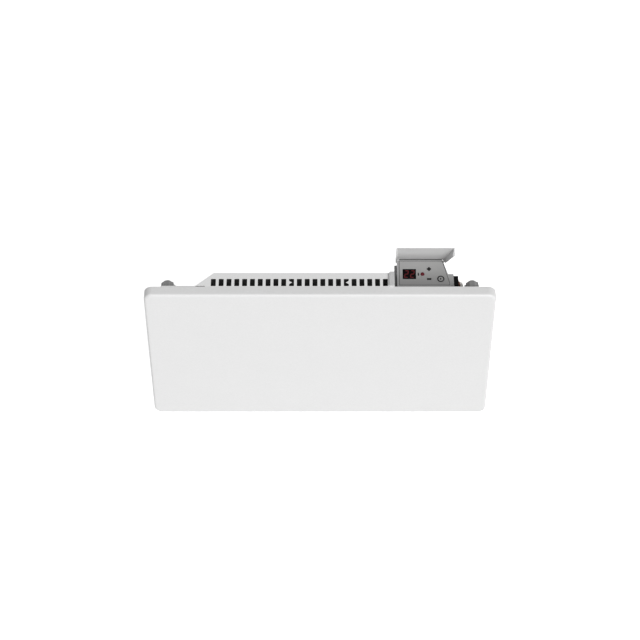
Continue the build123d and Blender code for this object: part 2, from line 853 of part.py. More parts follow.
def power_board():
    board = block(power_left, power_right, power_front, power_rear, power_top - board_thickness, power_top)
    for x, y in power_screw_places():
        board -= rod_z(board_screw_radius, x, y, power_top - 3, power_top + 1)
    board -= rod_z(grommet_radius + 3, grommet_x, grommet_y, power_top - 3, power_top + 1)
    return board


def power_board_screws():
    screws = []
    for x, y in power_screw_places():
        screw = rod_z(board_screw_radius, x, y, power_top - 6, power_top)
        screws.append(screw + rod_z(2.6, x, y, power_top, power_top + 1.8))
    return screws


def relay():
    x = power_left + 20.0
    return block(x - 8, x + 8, power_rear - 30, power_rear - 11, power_top, power_top + relay_height)


def terminal_block():
    """A row of three clamps, whose open sides face the grommet."""
    x = grommet_x + grommet_radius + 4.0
    row = block(x, x + 14, power_front + 9, power_rear - 9, power_top, power_top + 12)
    for index in range(3):
        y = power_front + 14.0 + index * 9.0
        row -= block(x - 1, x + 6, y - 2.5, y + 2.5, power_top + 2, power_top + 7)
        row -= rod_z(2.0, x + 8, y, power_top + 7, power_top + 13)
    return row


def mains_transformer():
    x = power_right - 14.0
    return block(x - 5, x + 9, power_front + 9, power_rear - 12, power_top, power_top + 18)


# ---- control unit: shelf, screws and trim ----
shelf_top = unit_floor - shelf_gap
shelf_bottom = shelf_top - shelf_sheet
shelf_left = unit_left + 2.0
shelf_right = unit_right - 8.0
shelf_flange_right = casing_rear_half - 8.0
shelf_flange_drop = 16.0


def unit_screw_places():
    return [(unit_left + 34.0, unit_front + 9.0), (unit_right - 18.0, unit_front + 9.0)]


def shelf_rivet_places():
    z = shelf_bottom - shelf_flange_drop / 2
    return [(shelf_left + 7, z), (shelf_flange_right - 5, z)]


def unit_shelf():
    """A steel shelf under the unit, with a flange folded down against the casing's back."""
    inside = casing_y - casing_sheet
    shelf = block(shelf_left, shelf_right, unit_front, inside, shelf_bottom, shelf_top)
    shelf += block(shelf_left, shelf_flange_right, inside - shelf_sheet, inside,
                   shelf_bottom - shelf_flange_drop, shelf_top)
    for x, y in unit_screw_places():
        shelf -= rod_z(board_screw_radius, x, y, shelf_bottom - 1, shelf_top + 1)
    shelf -= rod_z(grommet_radius, grommet_x, grommet_y, shelf_bottom - 1, shelf_top + 1)
    for x, z in shelf_rivet_places():
        shelf -= rod_y(rivet_radius, x, inside - 3, inside + 1, z)
    return shelf


def shelf_rivets():
    inner = casing_y - casing_sheet - shelf_sheet
    rivets = []
    for x, z in shelf_rivet_places():
        rivet = rod_y(rivet_radius, x, inner, casing_y, z)
        rivet += rod_y(rivet_radius * 1.7, x, inner - 1.0, inner, z)
        rivets.append(rivet + rod_y(rivet_radius * 1.7, x, casing_y, casing_y + 1.0, z))
    return rivets


def unit_screws():
    screws = []
    for x, y in unit_screw_places():
        screw = rod_z(board_screw_radius, x, y, shelf_bottom, unit_floor + unit_boss_height - screw_end_room)
        screws.append(screw + rod_z(2.8, x, y, shelf_bottom - 2, shelf_bottom))
    return screws


def trim_peg_places():
    x = trim_left + trim_width / 2
    return [(x, flange_y + 8.0), (x, casing_y - 8.0)]


def unit_trim():
    strip = block(trim_left, cut_left, flange_y, casing_y, top, top + trim_height)
    upright = strip.edges().filter_by(Axis.Z).sort_by(Axis.Y)[-2:]
    left_rear = upright.sort_by(Axis.X)[0]
    strip = fillet(left_rear, trim_corner)
    left_top = strip.faces().sort_by(Axis.Z)[-1].edges().sort_by(Axis.X)[0]
    strip = fillet(left_top, 1.0)
    for x, y in trim_peg_places():
        strip += rod_z(peg_radius, x, y, top - casing_sheet - 2, top)
    return strip


# ---- lid ----
def lid_open(shape):
    """Takes the lid from closed, in its hinge's frame, to its place when open."""
    hinge = Pos(0, lid_axis_back, -lid_axis_drop)
    return on_face(hinge * Rot(-lid_open_angle, 0, 0) * shape)


lid_under = lid_axis_drop + lid_gap
lid_left = unit_left - lid_side_gap - lid_skirt


def lid_edge(forward):
    """X of the lid's right edge, at a distance from the hinge towards the panel."""
    return rim_right(lid_axis_back - forward) + lid_right_gap + lid_right_skirt


def lid_side_profile(x0, x1):
    """A skirt from the side: rounded round the hinge and deeper towards the free edge."""
    outline = [(lid_tail, lid_under), (0, lid_under), (-lid_length, lid_under),
               (-lid_length, lid_under - lid_skirt_depth), (-9.0, lid_under - lid_skirt_rear_depth),
               (-3.2, -3.2), (0, -lid_pivot_radius), (lid_pivot_radius, 0)]
    skirt = side_prism(outline, x0, x1)
    return skirt + rod_x(lid_pivot_radius, x0, x1, 0, 0)


def lid_cover():
    """Built closed, with the hinge axis through Y = 0, Z = 0 and the face level, then opened."""
    far, near = lid_edge(-lid_tail), lid_edge(lid_length)
    outline = [(lid_left, -lid_length), (near, -lid_length), (far, lid_tail), (lid_left, lid_tail)]
    plate = plan_prism(outline, lid_under, lid_under + lid_sheet)
    left = lid_side_profile(lid_left, lid_left + lid_skirt)
    band = [(near - lid_right_skirt, -lid_length), (near, -lid_length),
            (lid_edge(-lid_pivot_radius - 1), lid_pivot_radius + 1),
            (lid_edge(-lid_pivot_radius - 1) - lid_right_skirt, lid_pivot_radius + 1)]
    right = lid_side_profile(far - 20, near + 5) & plan_prism(band, -30, lid_under + lid_sheet)
    web_x = near - lid_right_skirt
    web_low = lid_under - lid_skirt_depth
    web_plane = Plane(origin=(0, -lid_length + 1.5, 0), x_dir=(1, 0, 0), z_dir=(0, -1, 0))
    web_corners = ((web_x, lid_under), (web_x - lid_web, web_low), (web_x, web_low))
    web_face = make_face(Polyline(*web_corners, close=True))
    web = extrude(web_plane * web_face, 1.5)
    lid = plate + left + right + web
    for start, end in ((lid_left - 1, lid_left + lid_skirt + 1), (far - 8, far + 3)):
        lid -= rod_x(lid_pin_radius + lid_pin_clearance, start, end, 0, 0)
    return lid_open(lid)


def lid_pin_spans():
    right_end = lid_edge(0)
    return [(lid_left + 0.2, lid_left + 0.2 + lid_pin_length),
            (right_end - 1.0 - lid_pin_length, right_end - 1.0)]


def lid_pin(start, end):
    return on_face(Pos(0, lid_axis_back, -lid_axis_drop) * rod_x(lid_pin_radius, start, end, 0, 0))


def lid_pins():
    return [lid_pin(start, end) for start, end in lid_pin_spans()]


# ---- mains switch and cord inlet ----
collar_rear = -collar_back
collar_front = collar_rear - collar_length
collar_top = top - collar_drop
collar_bottom = collar_top - collar_height
switch_y = (collar_rear + collar_front) / 2
collar_face = unit_right + collar_proud


def switch_body_block(clearance):
    """The part of the switch that goes through the unit's side."""
    inset = 1.4 - clearance
    return block(unit_right - switch_body_depth, unit_right + 0.5,
                 collar_front + inset, collar_rear - inset - 0.6,
                 collar_bottom + 1 - clearance, collar_top - 2.4 + clearance)


def switch_body():
    body = block(unit_right, collar_face, collar_front, collar_rear, collar_bottom, collar_top)
    body = fillet(body.edges().filter_by(Axis.X), 0.8)
    body += switch_body_block(-fit_gap)
    body -= block(collar_face - rocker_pivot_depth - 4.0, collar_face + 1, collar_front + collar_wall,
                  collar_rear - collar_wall, collar_bottom + collar_wall, collar_top - collar_wall)
    body += rod_z(rocker_pin_radius, collar_face - rocker_pivot_depth, switch_y, collar_bottom, collar_top)
    return body


def switch_rocker():
    """A shallow V-shaped rocker that turns on an upright pin; at rest its front end stands out."""
    pivot_x = collar_face - rocker_pivot_depth
    high = rocker_pivot_depth + rocker_rise
    low = rocker_pivot_depth + rocker_dip
    points = [(high, -rocker_half), (low, 0), (high, rocker_half), (high - 3.0, rocker_half + 0.2),
              (-2.6, 4.0), (-2.6, -4.0), (high - 3.0, -rocker_half - 0.2)]
    gap = collar_wall + seat
    rocker = plan_prism(points, collar_bottom + gap, collar_top - gap)
    rocker = fillet(rocker.edges().filter_by(Axis.Z).sort_by(Axis.X)[-2:], 0.7)
    rocker -= rod_z(rocker_pin_radius + lid_pin_clearance, 0, 0, collar_bottom, collar_top)
    return Pos(pivot_x, switch_y, 0) * Rot(0, 0, rocker_tilt) * rocker


def switch_terminals():
    inner = unit_right - switch_body_depth
    z = (collar_bottom + collar_top) / 2
    return [block(inner - 8, inner, y - 0.4, y + 0.4, z - 2.4, z + 2.4)
            for y in (switch_y - 7, switch_y, switch_y + 7)]


def cord_inlet():
    """A white elbow that takes the supply cord in through the unit's side."""
    y = -inlet_back
    z = top - inlet_drop
    end_x = unit_right + inlet_reach
    bend = 8.0
    path = FilletPolyline((unit_right, y, z), (end_x, y, z), (end_x, y, z - inlet_length), radius=bend)
    start = Plane(origin=(unit_right, y, z), z_dir=(1, 0, 0))
    elbow = sweep(start * Circle(inlet_radius), path=path)
    elbow += rod_x(inlet_radius + 0.6, unit_right, unit_right + 2, y, z)
    elbow += rod_x(inlet_radius - 1, unit_right - unit_wall - 1, unit_right, y, z)
    return elbow - rod_z(inlet_bore, end_x, y, z - inlet_length - 1, z - inlet_length + 12)


# ---- locks ----
def lock_knob(side):
    """A fluted grip; its front end faces the ear."""
    near = ear_y + 0.5
    far = near + knob_length
    grip = rod_y(knob_radius, 0, near, far, 0)
    grip = chamfer(grip.faces().sort_by(Axis.Y)[-1].edges(), 1.5)
    reach = knob_radius + flute_radius - flute_depth
    for index in range(knob_flutes):
        angle = math.radians(first_flute) + 2 * math.pi * index / knob_flutes
        grip -= rod_y(flute_radius, reach * math.cos(angle), near + 3.5, far + 1, reach * math.sin(angle))
    grip -= rod_y(spindle_radius, 0, near - 1, far + 1, 0)
    return Pos(side * knob_x, 0, knob_z) * grip


def lock_spindle(side):
    """A pin through the grip and the ear, with a cross bar behind the bracket's web."""
    web_rear = -web_to_wall
    bar_y = web_rear + seat + 0.2
    pin = rod_y(spindle_radius, 0, flange_y - 4.0, bar_y + lock_bar_thickness, 0)
    pin += block(-lock_bar_length / 2, lock_bar_length / 2, bar_y, bar_y + lock_bar_thickness,
                 -lock_bar_width / 2, lock_bar_width / 2)
    pin -= clip_ring(spindle_radius - 0.6, spindle_radius + 1)
    return Pos(side * knob_x, 0, knob_z) * pin


def clip_ring(inner, outer):
    low = flange_y - seat - clip_thickness
    ring = rod_y(outer, 0, low, low + clip_thickness, 0)
    return ring - rod_y(inner, 0, low - 1, low + clip_thickness + 1, 0)


def lock_clip(side):
    """A retaining ring in the spindle's groove, on the panel's side of the ear."""
    ring = clip_ring(spindle_radius - 0.6, clip_radius)
    ring -= block(-1.6, 1.6, flange_y - 4, flange_y + 1, -clip_radius - 1, 0)
    return Pos(side * knob_x, 0, knob_z) * ring


# ---- wall bracket ----
def bracket_rail(side):
    """One upright of the wall bracket: wall strip, top arm with its slotted web, and lower hook."""
    half = rail_width / 2
    web_front = -web_to_wall - rail_sheet
    arm_z = knob_z - lock_slot_half - web_length
    rail = block(-half, half, -rail_sheet, 0, -rail_bottom - rail_sheet, arm_z)
    rail += block(-half, half, web_front, 0, arm_z - rail_sheet, arm_z)
    rail += block(-half, half, web_front, -web_to_wall, arm_z - rail_sheet, knob_z)
    web_top = rod_y(web_margin, 0, web_front, -web_to_wall, knob_z)
    rail += web_top
    rail -= block(-half - 1, -web_margin, web_front - 1, -web_to_wall + 1, knob_z - web_neck, knob_z + 1)
    rail -= block(web_margin, half + 1, web_front - 1, -web_to_wall + 1, knob_z - web_neck, knob_z + 1)
    rail -= block(-lock_slot_width / 2, lock_slot_width / 2, web_front - 1, -web_to_wall + 1,
                  knob_z - lock_slot_half, knob_z + lock_slot_half)
    hook_front = flange_y - panel_sheet - 2.0
    reach = hook_width / 2
    rail += block(-reach, reach, hook_front, 0, -rail_bottom - rail_sheet, -rail_bottom)
    rail += block(-reach, reach, hook_front, hook_front + rail_sheet, -rail_bottom, -rail_bottom + hook_rise)
    for z in (-wall_hole_height, wall_hole_height):
        rail -= rod_y(wall_hole_radius, 0, -rail_sheet - 1, 1, z)
    for z in bar_rivet_heights():
        rail -= rod_y(rivet_radius, 0, -rail_sheet - 1, 1, z)
    return Pos(side * knob_x, 0, 0) * rail


def bar_rivet_heights():
    return (-bar_height / 4, bar_height / 4)


def bracket_cross_bar():
    """A flat bar on the wall between the rails; its ends step forward and lap over them."""
    half = bar_height / 2
    rail_edge = knob_x - rail_width / 2
    flat = rail_edge - 2.0
    end = knob_x + rail_width / 4
    bar = block(-flat, flat, -rail_sheet, 0, -half, half)
    for side in (-1, 1):
        inner, outer = sorted((side * (flat - rail_sheet), side * end))
        bar += block(inner, outer, -2 * rail_sheet, -rail_sheet, -half, half)
        for z in bar_rivet_heights():
            bar -= rod_y(rivet_radius, side * knob_x, -2 * rail_sheet - 1, 0, z)
    return bar


def bracket_rivets():
    rivets = []
    for side in (-1, 1):
        for z in bar_rivet_heights():
            x, seat_y = side * knob_x, -2 * rail_sheet
            rivet = rod_y(rivet_radius, x, seat_y, 0, z)
            rivets.append(rivet + rod_y(rivet_radius * 1.8, x, seat_y - 1.2, seat_y, z))
    return rivets


def main():
    os.makedirs("parts", exist_ok=True)
    save("front_panel", front_panel())
    save("rear_cover", rear_cover())
    save("heat_shield", heat_shield())
    save("cover_screws", *cover_screws())
    save("element_tube", element_tube())
    save("element_fins", *element_fins())
    save("element_bracket_left", element_bracket(brackets_x[0], element_radius + 0.1))
    save("element_bracket_right", element_bracket(brackets_x[1], insulator_radius - 1.4))
    save("element_rivets", *element_rivets())
    save("element_insulators", *element_insulators())
    save("element_terminals", *element_terminals())
    save("thermal_cutout", thermal_cutout())
    save("live_lead", live_lead())
    save("neutral_lead", neutral_lead())
    save("earth_lead", earth_lead())
    save("earth_screw", earth_screw())
    save("lead_grommet", lead_grommet())
    save("lead_clips", *lead_clips())
    save("room_sensor", room_sensor())
    save("sensor_lead", sensor_lead())
    save("control_housing", control_housing())
    save("face_plate", face_plate())
    save("display_window", display_window())
    save("display_module", display_module())
    save("status_led", status_led())
    save("plus_key", plus_key())
    save("minus_key", minus_key())
    save("power_key", power_key())
    save("control_board", control_board())
    save("tact_switches", *tact_switches())
    save("board_screws", *board_screws())
    save("power_board", power_board())
    save("power_board_screws", *power_board_screws())
    save("relay", relay())
    save("terminal_block", terminal_block())
    save("mains_transformer", mains_transformer())
    save("unit_shelf", unit_shelf())
    save("shelf_rivets", *shelf_rivets())
    save("unit_screws", *unit_screws())
    save("unit_trim", unit_trim())
    save("lid_cover", lid_cover())
    save("lid_pins", *lid_pins())
    save("switch_body", switch_body())
    save("switch_rocker", switch_rocker())
    save("switch_terminals", *switch_terminals())
    save("cord_inlet", cord_inlet())
    for name, side in (("left", -1), ("right", 1)):
        save(f"lock_knob_{name}", lock_knob(side))
        save(f"lock_spindle_{name}", lock_spindle(side))
        save(f"lock_clip_{name}", lock_clip(side))
        save(f"bracket_rail_{name}", bracket_rail(side))
    save("bracket_cross_bar", bracket_cross_bar())
    save("bracket_rivets", *bracket_rivets())


main()
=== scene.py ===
"""Looks of a wall panel convector heater.

Finishes, some with painted light and shade, softened edges, lit digits, printed signs, dark strips painted as
shadow lines, ribbed grips, rivets, floor, lamp, sky and camera.
"""

import json
import math

import bmesh
import bpy
from bpy.props import FloatProperty, FloatVectorProperty, IntProperty, PointerProperty
from mathutils import Matrix, Vector
from mathutils.geometry import convex_hull_2d

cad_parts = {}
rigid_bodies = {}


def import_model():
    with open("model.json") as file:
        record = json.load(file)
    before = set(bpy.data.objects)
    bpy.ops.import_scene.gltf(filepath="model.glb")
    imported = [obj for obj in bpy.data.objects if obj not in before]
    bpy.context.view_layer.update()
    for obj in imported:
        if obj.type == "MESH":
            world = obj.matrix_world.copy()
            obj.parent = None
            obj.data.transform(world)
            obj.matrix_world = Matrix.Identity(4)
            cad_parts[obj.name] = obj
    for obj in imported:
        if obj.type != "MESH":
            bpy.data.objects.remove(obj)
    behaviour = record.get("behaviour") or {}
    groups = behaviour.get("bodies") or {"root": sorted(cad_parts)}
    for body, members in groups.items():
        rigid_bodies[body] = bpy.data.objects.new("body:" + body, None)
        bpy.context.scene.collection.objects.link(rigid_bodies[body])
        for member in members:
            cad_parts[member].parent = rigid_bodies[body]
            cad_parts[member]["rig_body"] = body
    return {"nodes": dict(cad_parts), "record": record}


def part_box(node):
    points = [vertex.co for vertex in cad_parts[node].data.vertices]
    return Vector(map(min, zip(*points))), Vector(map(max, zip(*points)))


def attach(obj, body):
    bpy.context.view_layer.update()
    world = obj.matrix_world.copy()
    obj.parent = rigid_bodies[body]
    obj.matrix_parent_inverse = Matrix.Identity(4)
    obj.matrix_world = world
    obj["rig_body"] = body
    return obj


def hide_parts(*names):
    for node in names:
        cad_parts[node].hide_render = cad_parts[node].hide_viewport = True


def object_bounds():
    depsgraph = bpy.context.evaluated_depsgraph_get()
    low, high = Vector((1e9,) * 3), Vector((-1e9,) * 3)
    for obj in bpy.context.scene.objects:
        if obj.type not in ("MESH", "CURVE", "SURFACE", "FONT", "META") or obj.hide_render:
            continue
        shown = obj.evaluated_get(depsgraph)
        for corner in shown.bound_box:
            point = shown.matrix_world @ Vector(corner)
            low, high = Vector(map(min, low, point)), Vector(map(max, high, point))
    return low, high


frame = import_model()
cad_low, cad_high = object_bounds()

bl_info = {
    "name": "Wall panel convector heater",
    "version": (1, 0, 0),
    "blender": (4, 5, 0),
    "location": "3D View > Sidebar > Heater",
    "description": "Dresses the packed heater: finishes, edges, display, seal, signs, grips, rivets, studio",
    "category": "Object",
}

HEATER = "heater"
POWER_BUTTON = "power_button"
WHITE = (1, 1, 1, 1)

# how points are joined, flat areas told from edges, and edges rounded
MERGE = 1e-6
FLAT = math.radians(0.6)
SOFT_ANGLE = math.radians(38)
EDGE_STEPS = 2


# ---- settings that a user would change ----
def colour(name, description, value):
    return FloatVectorProperty(
        name=name, description=description, default=value, size=3, min=0, max=1, subtype="COLOR"
    )


def length(name, description, value):
    return FloatProperty(name=name, description=description, default=value, min=0, unit="LENGTH", precision=5)


def angle(name, description, degrees):
    return FloatProperty(name=name, description=description, default=math.radians(degrees), unit="ROTATION")


def share(name, description, value):
    return FloatProperty(name=name, description=description, default=value, min=0, max=4, subtype="FACTOR")


class HeaterFinish(bpy.types.PropertyGroup):
    """Colours and grain of the surfaces that show."""

    coat: colour("Powder coat", "White of the panel and the casing", (0.80, 0.80, 0.80))
    unit: colour("Control unit", "Grey of the moulded housing", (0.262, 0.262, 0.262))
    label: colour("Face plate", "Grey of the plate round the display", (0.258, 0.257, 0.255))
    lid: colour("Lid", "Grey of the hinged lid", (0.63, 0.63, 0.63))
    trim: colour("Strip", "Grey of the strip beside the slots", (0.61, 0.61, 0.61))
    grip: colour("Grips", "Grey of the ribbed lock grips", (0.235, 0.235, 0.235))
    black: colour("Black plastic", "Switch, sockets and relay cases", (0.006, 0.006, 0.0065))
    mark: colour("Printed marks", "Signs on the face plate", (0.018, 0.018, 0.018))
    digit: colour("Digits", "Lit segments of the display", (0.075, 0.010, 0.012))
    lamp: colour("Lamp lens", "Red lens beside the display", (0.11, 0.018, 0.024))
    window: colour("Display window", "Dark filter over the display", (0.004, 0.0035, 0.0035))
    # painted shade: the inside of the casing is coloured dark for the shade seen through the slots
    inside: colour("Inside of the casing", "Dark undercoat that shows through the slots", (0.05, 0.05, 0.05))
    rocker: colour("Rocker", "Tinted end of the mains switch", (0.11, 0.035, 0.02))
    coat_grain: length("Coat grain", "Distance between bumps of the powder coat", 0.0021)
    coat_depth: length("Coat depth", "Height of the bumps of the powder coat", 0.00007)
    plastic_grain: length("Plastic grain", "Distance between bumps of the moulded grain", 0.0007)
    plastic_depth: length("Plastic depth", "Height of the bumps of the moulded grain", 0.00003)


class HeaterShape(bpy.types.PropertyGroup):
    """Sizes of what is modelled here."""

    sheet_edge: length("Sheet edge", "Rounding of painted sheet edges", 0.00025)
    plastic_edge: length("Plastic edge", "Rounding of moulded edges", 0.0003)
    grip_ribs: IntProperty(name="Grip ribs", description="Ribs round each grip", default=9, min=3, max=40)
    grip_radius: length("Grip radius", "Axis to the top of a rib", 0.0145)
    grip_turn: angle("Grip turn", "Where the first rib stands, from the right", 74)
    grip_flute: length("Grip flute", "Depth between two ribs", 0.0011)
    rivet_room: length("Rivet room", "How far a rivet's head stays inside its box", 0.00002)
    # painted shadow: the dark strip along the lid's hinge stands for the shadow in the gap there
    hinge_shadow_depth: length("Gap_shadow depth", "Reach of the hinge lip behind the face", 0.0017)
    hinge_shadow_height: length("Gap_shadow height", "Height of the hinge lip", 0.0024)
    # painted shadow: the dark strip in the face plate's groove stands for the shadow of the gap round the
    # plate
    shadow_line_lap: length("Shadow lap", "How far the seal laps over the face plate's edge", 0.00035)
    shadow_line_proud: length("Shadow height", "How far the seal stands above the face", 0.00005)
    shadow_line_width: length("Shadow width", "Width of the seal in the face plate's groove", 0.00075)
    shadow_line_depth: length("Shadow depth", "Shadow's underside below the face", 0.0007)
    casing_half: length("Casing half width", "Middle to the casing's side, inside the ears", 0.2565)
    digit_height: length("Digit height", "Height of one digit", 0.0168)
    digit_width: length("Digit width", "Width of one digit", 0.0078)
    digit_stroke: length("Digit stroke", "Width of a lit segment", 0.0019)
    digit_lean: angle("Digit lean", "How far the digits lean over", 8)
    ring_stroke: length("Ring stroke", "Width of the ring on the power key", 0.0024)


class HeaterStudio(bpy.types.PropertyGroup):
    """Camera, lamp, sky and floor."""

    camera_pitch: angle("Camera pitch", "How far the camera looks down", 49.691)
    camera_back: length("Camera back", "Camera to the wall plane", 2.7626)
    camera_up: length("Camera height", "Camera above the panel's middle", 3.2693)
    camera_lens: FloatProperty(name="Lens", description="Focal length", default=112.809, min=1, unit="CAMERA")
    camera_shift: FloatProperty(name="Shift", description="Sideways shift of the view", default=0.0001)
    key_level: share("Key level", "Light of the distant soft lamp at the right", 0.805)
    sky_level: share("Sky level", "Even light from all round", 0.24)
    key_azimuth: angle("Key azimuth", "Soft lamp, to the right of straight ahead", 27)
    key_elevation: angle("Key elevation", "Soft lamp, above the horizon", 39.3)
    key_spread: angle("Key spread", "How large the soft lamp looks from the heater", 38)
    floor_drop: length("Floor drop", "Heater's lowest point to the floor", 0.16)
    floor_lift: share("Floor lift", "How much the floor is brightened for the camera", 0.80)


# ---- node trees ----
FLOAT = "NodeSocketFloat"
GEOMETRY = "NodeSocketGeometry"


class Graph:
    """A node tree with short ways to add nodes and join their sockets."""

    def __init__(self, tree):
        self.tree = tree

    def node(self, kind, inputs=None, **settings):
        made = self.tree.nodes.new(kind)
        for key, value in settings.items():
            setattr(made, key, value)
        for key, value in (inputs or {}).items():
            self.feed(made.inputs[key], value)
        return made

    def feed(self, socket, value):
        if isinstance(value, bpy.types.NodeSocket):
            self.tree.links.new(value, socket)
        else:
            socket.default_value = value

    def math(self, operation, *values):
        return self.node("ShaderNodeMath", dict(enumerate(values)), operation=operation).outputs[0]

    def times(self, first, second):
        return self.math("MULTIPLY", first, second)

    def blend(self, first, first_share, second, second_share):
        """Two values, each times its own share, added up."""
        return self.math("ADD", self.times(first, first_share), self.times(second, second_share))

    def spread(self, value, low, high, to_low=0.0, to_high=1.0, curve="LINEAR"):
        inputs = {"Value": value, "From Min": low, "From Max": high, "To Min": to_low, "To Max": to_high}
        return self.node("ShaderNodeMapRange", inputs, interpolation_type=curve).outputs["Result"]

    def mix(self, factor, first, second):
        made = self.node("ShaderNodeMix", data_type="RGBA")
        for socket, value in zip((made.inputs[0], made.inputs[6], made.inputs[7]), (factor, first, second)):
            self.feed(socket, value)
        return made.outputs[2]

    def place(self):
        """Where a point lies on the piece itself."""
        return self.node("ShaderNodeTexCoord").outputs["Object"]

    def noise(self, place, scale, detail=2.0, roughness=0.5):
        inputs = {"Vector": place, "Scale": scale, "Detail": detail, "Roughness": roughness}
        return self.node("ShaderNodeTexNoise", inputs).outputs["Fac"]

    def studio_rays(self):
        """1 for rays that show the studio directly, in a mirror or through glass, 0 for those that light."""
        path = self.node("ShaderNodeLightPath").outputs
        indirect = self.math("MAXIMUM", path["Is Glossy Ray"], path["Is Transmission Ray"])
        return self.math("MAXIMUM", path["Is Camera Ray"], indirect)


def new_group(name, kind, inputs, outputs):
    """An empty node group with named sockets; returns the tree, its Graph, and its input and output nodes."""
    tree = bpy.data.node_groups.new(name, kind)
    for label, socket, value in inputs:
        made = tree.interface.new_socket(label, in_out="INPUT", socket_type=socket)
        if value is not None:
            made.default_value = value
    for label, socket in outputs:
        tree.interface.new_socket(label, in_out="OUTPUT", socket_type=socket)
    graph = Graph(tree)
    return tree, graph, graph.node("NodeGroupInput").outputs, graph.node("NodeGroupOutput").inputs


def new_grain(name, spacing):
    """A group for a grain: it puts out the height of bumps this far apart, and a change of shade."""
    return new_group(
        name, "ShaderNodeTree", [("Spacing", FLOAT, spacing)], [("Height", FLOAT), ("Shade", FLOAT)]
    )


def new_mask(name, label, value):
    """A group that puts out a mask and takes one value."""
    return new_group(name, "ShaderNodeTree", [(label, FLOAT, value)], [("Mask", FLOAT)])


COAT_CLOUDS = 14.0  # to the metre, like the other texture scales here
PLASTIC_CLOUDS = 35.0
ZINC_PATCHES = 130.0
DUST_PATCHES = 60.0
ROLLED = (0.04, 1.0, 1.0)  # streaks run along X
PLAIN_LIKENESS = 0.995  # how alike the plain and the rounded normal are where an edge gets no wear and no painted highlight
WORN_AND_HIGHLIT_LIKENESS = 0.86
DUST_SLOPES = (0.5, 1.0)  # how far up a face looks, where dust starts to lie and where it lies fully
DUST_THINNING = (0.35, 0.75)


def coat_grain_group():
    """Orange-peel bumps of powder coat, with a faint cloudiness."""
    tree, g, given, out = new_grain("coat_grain", 0.002)
    place = g.place()
    fine = g.math("DIVIDE", 1.0, given["Spacing"])
    speck = g.noise(place, g.times(fine, 0.55), detail=1.0)
    cloud = g.noise(place, COAT_CLOUDS)
    g.feed(out["Height"], g.noise(place, fine, roughness=0.55))
    g.feed(out["Shade"], g.blend(speck, 0.7, cloud, 0.3))
    return tree


def moulded_grain_group():
    """Fine spark-eroded grain of moulded plastic."""
    tree, g, given, out = new_grain("moulded_grain", 0.0007)
    place = g.place()
    fine = g.math("DIVIDE", 1.0, given["Spacing"])
    cells = g.node("ShaderNodeTexVoronoi", {"Vector": place, "Scale": fine}, feature="SMOOTH_F1")
    speck = g.noise(place, g.times(fine, 1.7))
    cloud = g.noise(place, PLASTIC_CLOUDS)
    g.feed(out["Height"], g.blend(cells.outputs["Distance"], 0.6, speck, 0.5))
    g.feed(out["Shade"], g.blend(speck, 0.5, cloud, 0.5))
    return tree


def rolled_metal_group():
    """Rolling streaks along X and the crystal patches of zinc."""
    tree, g, given, out = new_grain("rolled_metal", 0.0005)
    place = g.place()
    fine = g.math("DIVIDE", 1.0, given["Spacing"])
    drawn = g.node("ShaderNodeMapping", {"Vector": place, "Scale": ROLLED}).outputs["Vector"]
    streaks = g.noise(drawn, fine, detail=3.0)
    patches = g.node("ShaderNodeTexVoronoi", {"Vector": place, "Scale": ZINC_PATCHES}).outputs["Color"]
    patch = g.node("ShaderNodeSeparateColor", {"Color": patches}).outputs["Red"]
    g.feed(out["Height"], streaks)
    g.feed(out["Shade"], g.blend(streaks, 0.6, patch, 0.4))
    return tree


def edge_wear_and_highlight_group():
    """A mask of edge wear and painted highlight, 1 on outer edges: the shading normal there differs from a
    rounded one.
    """
    tree, g, given, out = new_mask("edge_wear_and_highlight", "Radius", 0.0006)
    rounded = g.node("ShaderNodeBevel", {"Radius": given["Radius"]}, samples=4).outputs["Normal"]
    plain = g.node("ShaderNodeNewGeometry").outputs["Normal"]
    alike = g.node("ShaderNodeVectorMath", {0: rounded, 1: plain}, operation="DOT_PRODUCT").outputs["Value"]
    g.feed(out["Mask"], g.spread(alike, PLAIN_LIKENESS, WORN_AND_HIGHLIT_LIKENESS))
    return tree


def settled_dust_group():
    """A mask of thin dust on faces that look up, thicker in soft patches."""
    tree, g, given, out = new_mask("settled_dust", "Amount", 0.1)
    normal = g.node("ShaderNodeNewGeometry").outputs["Normal"]
    up = g.node("ShaderNodeSeparateXYZ", {"Vector": normal}).outputs["Z"]
    patch = g.noise(g.place(), DUST_PATCHES, detail=4.0, roughness=0.65)
    mask = g.times(g.spread(up, *DUST_SLOPES), g.spread(patch, *DUST_THINNING))
    g.feed(out["Mask"], g.times(mask, given["Amount"]))
    return tree


# ---- finishes ----
groups = {}
finishes = {}

EFFECTS = {
    "coat": coat_grain_group,
    "moulded": moulded_grain_group,
    "metal": rolled_metal_group,
    "edge": edge_wear_and_highlight_group,
    "dust": settled_dust_group,
}
# the edge mask lightens edges: partly wear, partly a painted highlight
WEAR_AND_HIGHLIGHT_RADIUS = 0.0008
WEAR_AND_HIGHLIGHT_LIFT = 0.25
DUST_COLOUR = (0.55, 0.54, 0.52, 1.0)
ROUGH_SWING = 0.06


def group_node(g, kind, **inputs):
    """Places one of the shared effects in a material."""
    if kind not in groups:
        groups[kind] = EFFECTS[kind]()
    made = g.node("ShaderNodeGroup")
    made.node_tree = groups[kind]
    for label, value in inputs.items():
        made.inputs[label.capitalize()].default_value = value
    return made.outputs


def scaled(tint, factor):
    """A colour with its alpha, brighter or darker by a factor."""
    return tuple(min(1.0, part * factor) for part in tint) + (1.0,)


